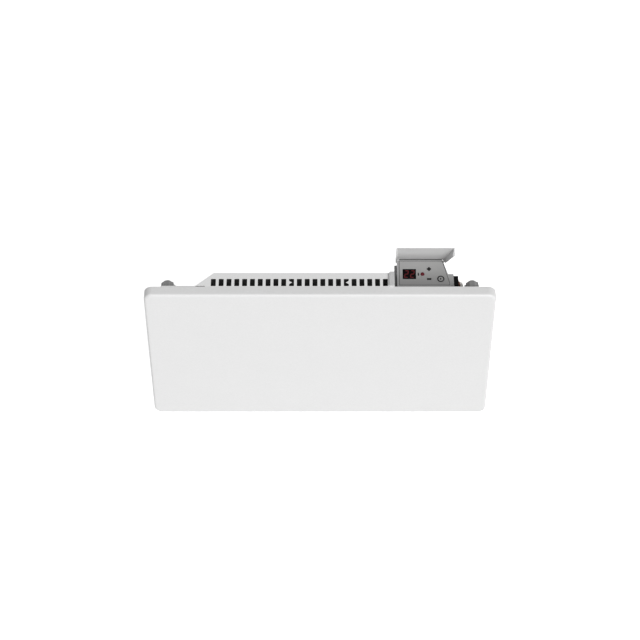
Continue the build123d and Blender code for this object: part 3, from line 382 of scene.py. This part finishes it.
def make_finish(
    slot, tint, grain, spacing, depth, rough, spread=0.05, metal=0.0, wear_and_highlight=0.0, dust=0.0, level=0.5
):
    """One procedural finish: grain and shade from the shared groups, in this material's own colour, with
    edges lightened as wear and painted highlight where asked.
    """
    material = bpy.data.materials.new(slot)
    material.use_nodes = True
    g = Graph(material.node_tree)
    shader = material.node_tree.nodes["Principled BSDF"]
    surface = group_node(g, grain, spacing=spacing)
    base = g.mix(surface["Shade"], scaled(tint, 1 - spread), scaled(tint, 1 + spread))
    # edges lightened: partly wear, partly a painted highlight
    if wear_and_highlight:
        edge = group_node(g, "edge", radius=WEAR_AND_HIGHLIGHT_RADIUS)["Mask"]
        worn_and_highlit = [WEAR_AND_HIGHLIGHT_LIFT + (1 - WEAR_AND_HIGHLIGHT_LIFT) * part for part in tint]
        base = g.mix(g.times(edge, wear_and_highlight), base, scaled(worn_and_highlit, 1.0))
    if dust:
        film = group_node(g, "dust", amount=dust)["Mask"]
        base = g.mix(film, base, DUST_COLOUR)
    g.feed(shader.inputs["Base Color"], base)
    roughness = g.spread(surface["Shade"], 0.0, 1.0, rough - ROUGH_SWING, rough + ROUGH_SWING)
    g.feed(shader.inputs["Roughness"], roughness)
    shader.inputs["Metallic"].default_value = metal
    shader.inputs["Specular IOR Level"].default_value = level
    bump = g.node("ShaderNodeBump", {"Height": surface["Height"], "Strength": 1.0, "Distance": depth})
    g.feed(shader.inputs["Normal"], bump.outputs["Normal"])
    finishes[slot] = material
    return material


def paint_shade_along(slot, axis, start, end, share_start, share_end):
    """Paints shade into a finish: multiplies its colour by a share that changes between two places along an
    axis of the piece.
    """
    material = finishes[slot]
    g = Graph(material.node_tree)
    base = material.node_tree.nodes["Principled BSDF"].inputs["Base Color"]
    along = g.node("ShaderNodeSeparateXYZ", {"Vector": g.place()}).outputs[axis]
    ramp = g.spread(along, start, end, share_start, share_end, curve="SMOOTHSTEP")
    shaded = g.node("ShaderNodeVectorMath", {0: base.links[0].from_socket, "Scale": ramp}, operation="SCALE")
    g.feed(base, shaded.outputs["Vector"])


def from_record(part, key, name, wanted):
    """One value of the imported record's entry that has this name."""
    for entry in frame["record"][part]:
        if entry[key] == name:
            return entry[wanted]
    raise RuntimeError(f"the record has no {key} {name}")


def record_tint(slot):
    """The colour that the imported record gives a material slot."""
    return from_record("materials", "slot", slot, "base_color")[:3]


def node_slot(node):
    """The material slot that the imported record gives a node."""
    return from_record("subparts", "node", node, "material_slot")


# ---- meshes ----
def add_object(name, data):
    made = bpy.data.objects.new(name, data)
    bpy.context.scene.collection.objects.link(made)
    return made


def plain_mesh(piece):
    """Turns a piece and its modifiers into a plain mesh."""
    graph = bpy.context.evaluated_depsgraph_get()
    done = bpy.data.meshes.new_from_object(piece.evaluated_get(graph))
    done.name = piece.name
    piece.modifiers.clear()
    piece.data = done
    return piece


def dress(piece, slot, body, *nodes):
    """Gives a piece its finish and the body it moves with, and hides the nodes that it stands for."""
    piece.data.materials.clear()
    piece.data.materials.append(finishes[slot])
    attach(piece, body)
    if nodes:
        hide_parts(*nodes)
    return piece


def edited(mesh, *changes):
    """Opens a mesh, makes each change to it in turn and writes it back."""
    work = bmesh.new()
    work.from_mesh(mesh)
    for change in changes:
        change(work)
    work.to_mesh(mesh)
    work.free()
    return mesh


def join_doubles(work):
    bmesh.ops.remove_doubles(work, verts=work.verts, dist=MERGE)


def join_flat_areas(work):
    bmesh.ops.dissolve_limit(work, angle_limit=FLAT, verts=work.verts, edges=work.edges)


def smooth_faces(work):
    for face in work.faces:
        face.smooth = True


def turn_faces_out(work):
    bmesh.ops.recalc_face_normals(work, faces=work.faces)


def drop_inner_walls(work):
    """Takes out the walls that two joined prisms share."""
    doubled = {}
    for face in work.faces:
        doubled.setdefault(frozenset(vert.index for vert in face.verts), []).append(face)
    inner = [face for same in doubled.values() if len(same) > 1 for face in same]
    bmesh.ops.delete(work, geom=inner, context="FACES_ONLY")


def softened(node, name, edge):
    """A copy of a node's mesh, merged, with its flat areas joined and its sharp edges rounded."""
    mesh = frame["nodes"][node].data.copy()
    if "custom_normal" in mesh.attributes:
        mesh.attributes.remove(mesh.attributes["custom_normal"])
    piece = add_object(name, edited(mesh, join_doubles, join_flat_areas, smooth_faces))
    bevel = piece.modifiers.new("soft edges", "BEVEL")
    bevel.width = edge
    bevel.segments = EDGE_STEPS
    bevel.limit_method = "ANGLE"
    bevel.angle_limit = SOFT_ANGLE
    bevel.harden_normals = True
    bevel.use_clamp_overlap = True
    return plain_mesh(piece)


def body_of(node):
    return frame["nodes"][node]["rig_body"]


def middle_of(node):
    low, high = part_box(node)
    return (low + high) / 2


# ---- the control unit's sloping face: x along the heater, up the slope, out of the face ----
FACE_FRONT = -0.0637
FACE_HEIGHT = 0.195
FACE_LENGTH = 0.0595
FACE_SLOPE = math.radians(15)


def face_matrix(out=0.0):
    """From places on the face, or this far out of it, to places in the frame."""
    turn = Matrix.Rotation(FACE_SLOPE, 4, "X")
    return Matrix.Translation((0, FACE_FRONT, FACE_HEIGHT)) @ turn @ Matrix.Translation((0, 0, out))


def prism(work, points, thickness):
    """Adds a closed prism over an outline that runs anticlockwise."""
    under = [work.verts.new((x, y, 0)) for x, y in points]
    over = [work.verts.new((x, y, thickness)) for x, y in points]
    work.faces.new(list(reversed(under)))
    work.faces.new(over)
    for index in range(len(points)):
        following = (index + 1) % len(points)
        work.faces.new((under[index], under[following], over[following], over[index]))


def prisms(name, outlines, thickness, out):
    """One piece of flat shapes, laid on the face with their underside this far out of it."""

    def add(work):
        for points in outlines:
            prism(work, points, thickness)
        bmesh.ops.transform(work, matrix=face_matrix(out), verts=work.verts)

    return add_object(name, edited(bpy.data.meshes.new(name), add, turn_faces_out))


def welded(piece):
    """Joins the prisms of a closed ring and takes out the walls inside it."""
    edited(piece.data, join_doubles, drop_inner_walls, turn_faces_out)
    return piece


def moved(points, x, up):
    return [(x + dx, up + dy) for dx, dy in points]


# ---- operators ----
class HeaterStep(bpy.types.Operator):
    """Shared ways of the steps that dress the heater."""

    bl_idname = "heater.step"
    bl_label = "Step"
    bl_options = {"INTERNAL"}

    @property
    def finish(self):
        return bpy.context.scene.heater_finish

    @property
    def shape(self):
        return bpy.context.scene.heater_shape

    @property
    def studio(self):
        return bpy.context.scene.heater_studio


# the casing's coat against the panel's: the same paint made brighter as painted light; and the inlet's
# plastic against its colour in the record
CASING_PAINTED_LIGHT = 1.09
INLET_LIFT = 1.15
# finishes in the record's colours, with their roughness
RECORD_PLASTICS = (
    ("board_green", 0.3),
    ("blue_case", 0.3),
    ("terminal_green", 0.4),
    ("rubber", 0.7),
    ("ceramic", 0.55),
    ("brown_sleeve", 0.38),
    ("blue_sleeve", 0.38),
    ("green_sleeve", 0.38),
    ("black_sleeve", 0.38),
)
RECORD_METALS = (
    ("bright_steel", 0.38),
    ("zinc_steel", 0.32),
    ("sheath_steel", 0.45),
    ("aluminium", 0.34),
    ("brass", 0.3),
)
FACE_PAINTED_SHADE_REACH = 0.046
# painted shade, the face plate and the unit darker towards the panel and the lid darker towards its hinge;
# slot, axis, start, end, and the share of the colour at the start and at the end
PAINTED_SHADE = (
    # painted shade: face plate and unit darker towards the panel, lighter towards the rear
    ("grey_label", "Y", FACE_FRONT, FACE_FRONT + FACE_PAINTED_SHADE_REACH, 0.80, 1.34),
    ("grey_plastic", "Y", FACE_FRONT, FACE_FRONT + FACE_PAINTED_SHADE_REACH, 0.80, 1.34),
    # painted shadow: a dark line along the lid's hinge
    ("lid_plastic", "Z", 0.2085, 0.2112, 0.42, 1.0),
    # painted shade: the lid darker towards its hinge
    ("lid_plastic", "Z", 0.2080, 0.2480, 0.74, 1.10),
)
DIGIT_GLOW = 0.35


class HEATER_OT_finishes(HeaterStep):
    """Makes every finish and gives each node of the frame its own"""

    bl_idname = "heater.finishes"
    bl_label = "Finishes"

    def execute(self, context):
        look = self.finish
        coat = dict(grain="coat", spacing=look.coat_grain, depth=look.coat_depth)
        moulded = dict(grain="moulded", spacing=look.plastic_grain, depth=look.plastic_depth)
        metal = dict(grain="metal", spacing=0.0006, depth=0.00001, metal=1.0)
        painted = dict(rough=0.42, spread=0.035, wear_and_highlight=0.15, dust=0.02, **coat)
        casing = [CASING_PAINTED_LIGHT * part for part in look.coat]
        inlet = [INLET_LIFT * part for part in record_tint("white_plastic")]
        make_finish("white_coat", look.coat, **painted)
        make_finish("casing_coat_painted_light", casing, **painted)
        # painted shade inside the casing
        make_finish("casing_inside_painted_shade", look.inside, rough=0.6, level=0.1, **coat)
        make_finish("bracket_white", record_tint("bracket_white"), rough=0.42, spread=0.03, dust=0.02, **coat)
        make_finish("grey_plastic", look.unit, rough=0.5, wear_and_highlight=0.12, dust=0.03, **moulded)
        make_finish("grey_label", look.label, rough=0.5, level=0.25, spread=0.03, **moulded)
        make_finish("lid_plastic", look.lid, rough=0.42, wear_and_highlight=0.1, dust=0.02, **moulded)
        make_finish("light_plastic", look.trim, rough=0.5, wear_and_highlight=0.1, dust=0.02, **moulded)
        make_finish("knob_grey", look.grip, rough=0.45, wear_and_highlight=0.2, dust=0.03, **moulded)
        make_finish("black_plastic", look.black, rough=0.55, level=0.03, **moulded)
        make_finish("dark_key", look.mark, rough=0.55, level=0.15, **moulded)
        make_finish("white_plastic", inlet, rough=0.4, **moulded)
        make_finish("red_rocker", look.rocker, rough=0.3, level=0.3, **moulded)
        make_finish("red_lens", look.lamp, rough=0.45, level=0.05, **moulded)
        make_finish("display_lens", look.window, rough=0.3, level=0.02, **moulded)
        for slot, rough in RECORD_PLASTICS:
            make_finish(slot, record_tint(slot), rough=rough, **moulded)
        for slot, rough in RECORD_METALS:
            make_finish(slot, record_tint(slot), rough=rough, spread=0.12, **metal)
        for shading in PAINTED_SHADE:
            paint_shade_along(*shading)
        self.lit_segment(look.digit)
        for node, shown in frame["nodes"].items():
            shown.data.materials.clear()
            shown.data.materials.append(finishes[node_slot(node)])
        return {"FINISHED"}

    def lit_segment(self, tint):
        """The glowing red of the display's segments."""
        lit = make_finish(
            "lit_segment", tint, grain="moulded", spacing=0.0009, depth=0.00001, rough=0.35, level=0.1
        )
        shader = lit.node_tree.nodes["Principled BSDF"]
        shader.inputs["Emission Color"].default_value = (*tint, 1)
        shader.inputs["Emission Strength"].default_value = DIGIT_GLOW


SHEET_PIECES = (
    ("front_panel", "panel_sheet"),
    ("rear_cover", "casing_sheet"),
    ("bracket_cross_bar", "bracket_bar"),
    ("bracket_rail_left", "left_rail"),
    ("bracket_rail_right", "right_rail"),
)
MOULDED_PIECES = (
    ("control_housing", "unit_shell"),
    ("face_plate", "face_surround"),
    ("unit_trim", "trim_strip"),
    ("lid_cover", "lid_shell"),
    ("switch_body", "switch_frame"),
    ("switch_rocker", "switch_button"),
    ("cord_inlet", "inlet_elbow"),
)
PAINTED_SHADE_FACE = 4e-5  # square metres: smaller faces keep the outer coat


class HEATER_OT_sheet(HeaterStep):
    """Rounds the painted edges of the panel, the casing and the wall bracket"""

    bl_idname = "heater.sheet"
    bl_label = "Panel, casing and bracket"

    def execute(self, context):
        for node, name in SHEET_PIECES:
            piece = softened(node, name, self.shape.sheet_edge)
            dress(piece, node_slot(node), body_of(node), node)
            if node == "rear_cover":
                # the casing gets the brighter copy of the panel's paint: painted light
                piece.data.materials[0] = finishes["casing_coat_painted_light"]
                self.painted_inside_shade(piece)
        return {"FINISHED"}

    def painted_inside_shade(self, piece):
        """Paints the large faces that look into the casing dark, a painted shade for what shows through the
        slots.
        """
        middle = middle_of("rear_cover")
        piece.data.materials.append(finishes["casing_inside_painted_shade"])
        for face in piece.data.polygons:
            looks_in = face.normal.dot(face.center - middle) < 0
            if looks_in and face.area > PAINTED_SHADE_FACE and abs(face.center.x) < self.shape.casing_half:
                face.material_index = 1


class HEATER_OT_moulded(HeaterStep):
    """Rounds the moulded edges of the control unit, the lid, the strip, the switch and the inlet"""

    bl_idname = "heater.moulded"
    bl_label = "Control unit, lid and switch"

    def execute(self, context):
        for node, name in MOULDED_PIECES:
            piece = softened(node, name, self.shape.plastic_edge)
            dress(piece, node_slot(node), body_of(node), node)
        return {"FINISHED"}


PRINT_THICKNESS = 0.00006
SEGMENTS_OF_TWO = ("top", "upper_right", "middle", "lower_left", "bottom")
SEGMENT_GAP = 0.12  # share of a stroke that is left dark at each end of a segment
DIGITS_UP = 0.0274
DIGITS_OUT = -0.0002  # underside of the lit segments, below the face
DIGIT_SHIFTS = (-0.0070, 0.0052)  # each digit's middle, from the window's
LAMP_SIGN_AT = (0.2014, 0.0268)
LAMP_SIGN_THICKNESS = 0.00008
LAMP_SIGN = (
    (-0.0013, -0.0034),
    (0.0009, -0.0034),
    (0.0009, -0.0014),
    (0.0020, 0.0),
    (0.0009, 0.0014),
    (0.0009, 0.0034),
    (-0.0013, 0.0034),
    (-0.0013, 0.0014),
    (-0.0020, 0.0),
    (-0.0013, -0.0014),
)


def two_outlines(centre, form):
    """Outlines of the lit segments of one digit 2, leaning over to the right."""
    half = form.digit_stroke / 2
    gap = form.digit_stroke * SEGMENT_GAP
    left, right = centre - form.digit_width / 2, centre + form.digit_width / 2
    low, high = DIGITS_UP - form.digit_height / 2, DIGITS_UP + form.digit_height / 2

    def across(y):
        start, end = left + gap, right - gap
        lower = [(start, y), (start + half, y - half), (end - half, y - half)]
        upper = [(end, y), (end - half, y + half), (start + half, y + half)]
        return lower + upper

    def upright(x, bottom, head):
        start, end = bottom + gap, head - gap
        right_side = [(x, start), (x + half, start + half), (x + half, end - half)]
        left_side = [(x, end), (x - half, end - half), (x - half, start + half)]
        return right_side + left_side

    segments = {
        "top": across(high - half),
        "middle": across(DIGITS_UP),
        "bottom": across(low + half),
        "upper_right": upright(right - half, DIGITS_UP, high - half),
        "lower_left": upright(left + half, low + half, DIGITS_UP),
    }
    lean = math.tan(form.digit_lean)
    return [[(x + (y - low) * lean, y) for x, y in segments[name]] for name in SEGMENTS_OF_TWO]


class HEATER_OT_display(HeaterStep):
    """Adds the two lit digits and the printed sign beside the lamp"""

    bl_idname = "heater.display"
    bl_label = "Display"

    def execute(self, context):
        window = middle_of("display_window").x
        outlines = []
        for shift in DIGIT_SHIFTS:
            outlines += two_outlines(window + shift, self.shape)
        digits = prisms("display_digits", outlines, PRINT_THICKNESS, DIGITS_OUT)
        digits.data.materials.append(finishes["lit_segment"])
        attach(digits, HEATER)
        sign = moved(LAMP_SIGN, *LAMP_SIGN_AT)
        dress(prisms("lamp_sign", [sign], LAMP_SIGN_THICKNESS, 0), "dark_key", HEATER)
        return {"FINISHED"}


FACE_TOLERANCE = 1e-5  # how far from the face a point may lie and still count as on it
REAR_TOLERANCE = 1e-4  # the same for the face plate's rear edge
POINT_DIGITS = 5
CORNER_TURN = 0.02  # sine of the smallest turn that is a corner


def sides_at(outline, index):
    """Directions of the two sides that meet at a point of a closed outline."""
    before, here, after = outline[index - 1], outline[index], outline[(index + 1) % len(outline)]
    return (here - before).normalized(), (after - here).normalized()


def corners_only(outline):
    """A closed outline without the points on its straight stretches."""
    kept = []
    for index, here in enumerate(outline):
        coming, going = sides_at(outline, index)
        if abs(coming.cross(going)) > CORNER_TURN:
            kept.append(here)
    return kept


def offset_outline(points, distance):
    """A closed outline that runs anticlockwise, moved outwards by a distance."""
    shifted = []
    for index, here in enumerate(points):
        outs = [Vector((side.y, -side.x)) for side in sides_at(points, index)]
        middle = (outs[0] + outs[1]).normalized()
        shifted.append(here + middle * distance / middle.dot(outs[0]))
    return shifted


def face_plate_corners():
    """Corners of the face plate's top, in places on the face."""
    to_face = face_matrix().inverted()
    spots = [to_face @ vert.co for vert in frame["nodes"]["face_plate"].data.vertices]
    on_face = [spot for spot in spots if abs(spot.z) < FACE_TOLERANCE]
    # points a hair apart would cost the outline a corner, so they are made one
    seen = {(round(spot.x, POINT_DIGITS), round(spot.y, POINT_DIGITS)) for spot in on_face}
    top = [Vector(place) for place in sorted(seen)]
    return corners_only([top[index] for index in convex_hull_2d(top)])


class HEATER_OT_shadow_lines(HeaterStep):
    """Lays dark strips that stand for shadow: a painted shadow line in the face plate's groove and a painted
    shadow in the gap along the lid's hinge
    """

    bl_idname = "heater.seam"
    bl_label = "Face plate seal"

    def execute(self, context):
        corners = face_plate_corners()
        self.shadow_line(corners)
        self.gap_shadow(corners)
        return {"FINISHED"}

    def shadow_line(self, corners):
        form = self.shape
        inner = offset_outline(corners, -form.shadow_line_lap)
        outer = offset_outline(corners, form.shadow_line_width)
        parts = []
        for index in range(len(corners)):
            after = (index + 1) % len(corners)
            parts.append([inner[index], outer[index], outer[after], inner[after]])
        # a dark strip in the groove: a painted shadow line
        shadow_line = prisms("plate_shadow_line", parts, form.shadow_line_depth + form.shadow_line_proud, -form.shadow_line_depth)
        dress(welded(shadow_line), "rubber", HEATER)

    def gap_shadow(self, corners):
        form = self.shape
        plate_rear = max(here.y for here in corners)
        xs = [here.x for here in corners if here.y > plate_rear - REAR_TOLERANCE]
        left, right, rear = min(xs), max(xs), FACE_LENGTH + form.hinge_shadow_depth
        gap_shadow = [(left, FACE_LENGTH), (right, FACE_LENGTH), (right, rear), (left, rear)]
        # a dark strip in the hinge gap: a painted shadow
        dress(prisms("hinge_gap_shadow", [gap_shadow], form.hinge_shadow_height, -form.hinge_shadow_height), "rubber", HEATER)


POWER_UP = 0.0162
KEY_PROUD = 0.0003
RING_RADIUS = 0.0072
RING_STEPS = 48
POWER_BAR = ((-0.0015, -0.0018), (0.0005, -0.0018), (0.0014, 0.0002), (0.0005, 0.0022), (-0.0015, 0.0022))


def ring_outlines(x, up, outer, inner):
    """A ring as a row of short outlines."""
    parts = []
    for index in range(RING_STEPS):
        start, end = (2 * math.pi * (index + k) / RING_STEPS for k in (0, 1))
        corners = ((inner, start), (outer, start), (outer, end), (inner, end))
        parts.append([(x + far * math.cos(turn), up + far * math.sin(turn)) for far, turn in corners])
    return parts


class HEATER_OT_keys(HeaterStep):
    """Adds the printed ring and bar on the power key"""

    bl_idname = "heater.keys"
    bl_label = "Power key"

    def execute(self, context):
        x = middle_of("power_key").x
        parts = ring_outlines(x, POWER_UP, RING_RADIUS, RING_RADIUS - self.shape.ring_stroke)
        ring = prisms("power_ring", parts, PRINT_THICKNESS, KEY_PROUD)
        dress(welded(ring), "dark_key", POWER_BUTTON)
        bar = prisms("power_bar", [moved(POWER_BAR, x, POWER_UP)], PRINT_THICKNESS, KEY_PROUD)
        dress(bar, "dark_key", POWER_BUTTON)
        return {"FINISHED"}


# ---- turned pieces: ribbed grips and rivets ----
# shares of the radius and the length, from station to station, and where the flutes are cut
GRIP_RADIUS = (0.2, 0.93, 0.975, 1, 1, 1, 1, 1, 1, 1, 1, 1, 0.97, 0.92, 0.6, 0.2, 0.2)
GRIP_LENGTH = (0, 0, 0.008, 0.035, 0.12, 0.17, 0.3, 0.42, 0.54, 0.66, 0.8, 0.93, 0.975, 1, 1, 1, 0)
GRIP_FLUTED = (0, 0, 0, 0, 0, 1, 1, 1, 1, 1, 1, 1, 1, 1, 0, 0, 0)
RIVET_RADIUS = (0, 0.36, 0.66, 0.87, 0.97, 1, 1, 0.555, 0.555, 0.555, 0)
RIVET_LENGTH = (0, 0.02, 0.06, 0.13, 0.20, 0.26, 0.285, 0.285, 0.6, 1, 1)
RIVET_FLUTED = (0, 0)
RIVET_PARTS = 2  # a rivet has no ribs: this only sets how many faces go round it, RIB_STEPS for each
RIB_STEPS = 16
RIB_SHARPNESS = 3.0
JOIN = 1e-5


def station_curve(g, value, levels):
    """A value at each station, straight between them."""
    made = g.node("ShaderNodeFloatCurve", {"Value": value})
    curve = made.mapping.curves[0]
    for _ in range(len(levels) - 2):
        curve.points.new(0.5, 0.5)
    for index, level in enumerate(levels):
        point = curve.points[index]
        point.location = (index / (len(levels) - 1), level)
        point.handle_type = "VECTOR"
    made.mapping.update()
    return made.outputs["Value"]


def turned_tree(name, radii, lengths, fluted):
    """A profile turned round the Y axis, with ribs where it is fluted, at each of the given points."""
    tree, g, given, out = new_group(
        name,
        "GeometryNodeTree",
        [
            ("Places", GEOMETRY, None),
            ("Radius", FLOAT, 0.01),
            ("Length", FLOAT, 0.01),
            ("Flute Depth", FLOAT, 0.0),
            ("Ribs", "NodeSocketInt", 9),
            ("First Rib", FLOAT, 0.0),
            ("Finish", "NodeSocketMaterial", None),
        ],
        [("Geometry", GEOMETRY)],
    )
    around = g.math("ADD", g.times(given["Ribs"], RIB_STEPS), 1)
    sizes = {"Size X": 1.0, "Size Y": 1.0, "Vertices X": len(radii), "Vertices Y": around}
    grid = g.node("GeometryNodeMeshGrid", sizes).outputs["Mesh"]
    place = g.node("ShaderNodeSeparateXYZ", {"Vector": g.node("GeometryNodeInputPosition").outputs[0]})
    along = g.math("ADD", place.outputs["X"], 0.5)
    turn = g.times(g.math("ADD", place.outputs["Y"], 0.5), 2 * math.pi)
    phase = g.times(g.math("SUBTRACT", turn, given["First Rib"]), g.times(given["Ribs"], 0.5))
    ridge = g.math("POWER", g.math("ABSOLUTE", g.math("COSINE", phase)), RIB_SHARPNESS)
    hollow = g.times(g.math("SUBTRACT", 1.0, ridge), station_curve(g, along, fluted))
    full = g.times(station_curve(g, along, radii), given["Radius"])
    radius = g.math("SUBTRACT", full, g.times(hollow, given["Flute Depth"]))
    spot = g.node("ShaderNodeCombineXYZ", {
        "X": g.times(radius, g.math("COSINE", turn)),
        "Y": g.times(station_curve(g, along, lengths), given["Length"]),
        "Z": g.times(radius, g.math("SINE", turn)),
    }).outputs[0]
    shape = g.node("GeometryNodeSetPosition", {"Geometry": grid, "Position": spot}).outputs[0]
    shape = g.node("GeometryNodeMergeByDistance", {"Geometry": shape, "Distance": JOIN}).outputs[0]
    shape = g.node("GeometryNodeSetShadeSmooth", {"Geometry": shape}).outputs[0]
    shape = g.node("GeometryNodeInstanceOnPoints", {"Points": given["Places"], "Instance": shape}).outputs[0]
    shape = g.node("GeometryNodeRealizeInstances", {"Geometry": shape}).outputs[0]
    shape = g.node("GeometryNodeSetMaterial", {"Geometry": shape, "Material": given["Finish"]}).outputs[0]
    g.feed(out["Geometry"], shape)
    return tree


def grow(name, tree, places, **inputs):
    """Runs a tree on a piece that holds only points, and keeps the result as a plain mesh."""
    mesh = bpy.data.meshes.new(name)
    mesh.from_pydata(places, [], [])
    piece = add_object(name, mesh)
    modifier = piece.modifiers.new("grown", "NODES")
    modifier.node_group = tree
    sockets = {item.name: item.identifier for item in tree.interface.items_tree if item.in_out == "INPUT"}
    for label, value in inputs.items():
        modifier[sockets[label.replace("_", " ")]] = value
    plain_mesh(piece)
    edited(piece.data, turn_faces_out)
    return piece


class HEATER_OT_grips(HeaterStep):
    """Grows the two ribbed grips of the wall locks"""

    bl_idname = "heater.grips"
    bl_label = "Lock grips"

    def execute(self, context):
        tree = turned_tree("ribbed_grip", GRIP_RADIUS, GRIP_LENGTH, GRIP_FLUTED)
        for side in ("left", "right"):
            node = f"lock_knob_{side}"
            near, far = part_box(node)
            axis = middle_of(f"lock_spindle_{side}")
            piece = grow(
                f"{side}_grip",
                tree,
                [(axis.x, near.y, axis.z)],
                Radius=self.shape.grip_radius,
                Length=far.y - near.y,
                Flute_Depth=self.shape.grip_flute,
                Ribs=self.shape.grip_ribs,
                First_Rib=self.shape.grip_turn,
                Finish=finishes["knob_grey"],
            )
            dress(piece, "knob_grey", f"{side}_lock", node)
        return {"FINISHED"}


def island_boxes(node):
    """The box of each separate solid in a node's mesh, from left to right."""
    work = bmesh.new()
    work.from_mesh(frame["nodes"][node].data)
    join_doubles(work)
    left, boxes = set(work.verts), []
    while left:
        rim = [left.pop()]
        seen = list(rim)
        while rim:
            near = {other for vert in rim for edge in vert.link_edges for other in edge.verts} & left
            left -= near
            rim = list(near)
            seen += rim
        boxes.append([Vector(pick(vert.co[k] for vert in seen) for k in range(3)) for pick in (min, max)])
    work.free()
    return sorted(boxes, key=lambda box: tuple(box[0]))


class HEATER_OT_rivets(HeaterStep):
    """Grows the domed rivets that hold the wall bracket together"""

    bl_idname = "heater.rivets"
    bl_label = "Bracket rivets"

    def execute(self, context):
        node = "bracket_rivets"
        boxes = island_boxes(node)
        low, high = boxes[0]
        piece = grow(
            "domed_rivets",
            turned_tree("domed_rivet", RIVET_RADIUS, RIVET_LENGTH, RIVET_FLUTED),
            [((a.x + b.x) / 2, a.y, (a.z + b.z) / 2) for a, b in boxes],
            Radius=(high.x - low.x) / 2 - self.shape.rivet_room,
            Length=high.y - low.y,
            Ribs=RIVET_PARTS,
            Finish=finishes[node_slot(node)],
        )
        dress(piece, node_slot(node), body_of(node), node)
        return {"FINISHED"}


# ---- studio ----
SENSOR_WIDTH = 36
FLOOR_HALF = 14
FLOOR_TONES = ((0.79, 0.79, 0.79, 1), (0.81, 0.81, 0.81, 1))
FLOOR_CLOUD = 1.5
FLOOR_ROUGHNESS = 0.9
LAMP_AWAY = 3  # where the lamp's sign stands: a distant lamp shines the same from anywhere


class HEATER_OT_stage(HeaterStep):
    """Sets up the pale floor, the lamp, the even sky and the camera"""

    bl_idname = "heater.stage"
    bl_label = "Studio"

    def execute(self, context):
        studio = self.studio
        self.camera(studio)
        self.floor(studio)
        self.lamp(studio)
        self.sky(studio)
        bpy.context.scene.view_settings.view_transform = "Standard"
        return {"FINISHED"}

    def camera(self, studio):
        data = bpy.data.cameras.new("camera")
        data.sensor_width = SENSOR_WIDTH
        data.lens = studio.camera_lens
        data.shift_x = studio.camera_shift
        camera = add_object("camera", data)
        camera.location = (0, -studio.camera_back, studio.camera_up)
        camera.rotation_euler = (math.pi / 2 - studio.camera_pitch, 0, 0)
        bpy.context.scene.camera = camera

    def floor(self, studio):
        level = cad_low.z - studio.floor_drop
        mesh = bpy.data.meshes.new("studio_floor")
        signs = ((-1, -1), (1, -1), (1, 1), (-1, 1))
        mesh.from_pydata([(x * FLOOR_HALF, y * FLOOR_HALF, level) for x, y in signs], [], [(0, 1, 2, 3)])
        floor = add_object("studio_floor", mesh)
        material = bpy.data.materials.new("studio_floor")
        material.use_nodes = True
        g = Graph(material.node_tree)
        nodes = material.node_tree.nodes
        shader = nodes["Principled BSDF"]
        g.feed(shader.inputs["Base Color"], g.mix(g.noise(g.place(), FLOOR_CLOUD), *FLOOR_TONES))
        shader.inputs["Roughness"].default_value = FLOOR_ROUGHNESS
        shader.inputs["Specular IOR Level"].default_value = 0.0
        strength = g.times(g.studio_rays(), studio.floor_lift)
        glow = g.node("ShaderNodeEmission", {"Color": WHITE, "Strength": strength})
        both = g.node("ShaderNodeAddShader", {0: shader.outputs[0], 1: glow.outputs[0]})
        g.feed(nodes["Material Output"].inputs["Surface"], both.outputs[0])
        mesh.materials.append(material)

    def lamp(self, studio):
        data = bpy.data.lights.new("key_lamp", "SUN")
        data.angle = studio.key_spread
        data.energy = studio.key_level * math.pi
        lamp = add_object("key_lamp", data)
        across, rise = studio.key_azimuth, studio.key_elevation
        ahead = math.cos(rise)
        towards = Vector((math.sin(across) * ahead, -math.cos(across) * ahead, math.sin(rise)))
        lamp.location = towards * LAMP_AWAY
        lamp.rotation_mode = "QUATERNION"
        lamp.rotation_quaternion = towards.to_track_quat("Z", "Y")

    def sky(self, studio):
        world = bpy.data.worlds.new("studio_sky")
        world.use_nodes = True
        bpy.context.scene.world = world
        g = Graph(world.node_tree)
        nodes = world.node_tree.nodes
        even = nodes["Background"]
        even.inputs["Color"].default_value = WHITE
        even.inputs["Strength"].default_value = studio.sky_level
        backdrop = g.node("ShaderNodeBackground", {"Color": WHITE, "Strength": 1.0})
        both = g.node(
            "ShaderNodeMixShader", {0: g.studio_rays(), 1: even.outputs[0], 2: backdrop.outputs[0]}
        )
        g.feed(nodes["World Output"].inputs["Surface"], both.outputs[0])


STEPS = (
    HEATER_OT_finishes,
    HEATER_OT_sheet,
    HEATER_OT_moulded,
    HEATER_OT_display,
    HEATER_OT_shadow_lines,
    HEATER_OT_keys,
    HEATER_OT_grips,
    HEATER_OT_rivets,
    HEATER_OT_stage,
)


class HEATER_PT_steps(bpy.types.Panel):
    """Lists the steps and their settings"""

    bl_idname = "HEATER_PT_steps"
    bl_label = "Convector heater"
    bl_space_type = "VIEW_3D"
    bl_region_type = "UI"
    bl_category = "Heater"

    def draw(self, context):
        layout = self.layout
        for step in STEPS:
            layout.operator(step.bl_idname)
        for group in (context.scene.heater_finish, context.scene.heater_shape, context.scene.heater_studio):
            box = layout.box()
            for name in group.bl_rna.properties.keys():
                if name not in ("rna_type", "name"):
                    box.prop(group, name)


SETTINGS = (("heater_finish", HeaterFinish), ("heater_shape", HeaterShape), ("heater_studio", HeaterStudio))


def register():
    for name, group in SETTINGS:
        bpy.utils.register_class(group)
        setattr(bpy.types.Scene, name, PointerProperty(type=group))
    for step in STEPS:
        bpy.utils.register_class(step)
    bpy.utils.register_class(HEATER_PT_steps)


def unregister():
    bpy.utils.unregister_class(HEATER_PT_steps)
    for step in reversed(STEPS):
        bpy.utils.unregister_class(step)
    for name, group in reversed(SETTINGS):
        delattr(bpy.types.Scene, name)
        bpy.utils.unregister_class(group)


def main():
    register()
    for step in STEPS:
        group, name = step.bl_idname.split(".")
        getattr(getattr(bpy.ops, group), name)()


if __name__ == "__main__":
    main()
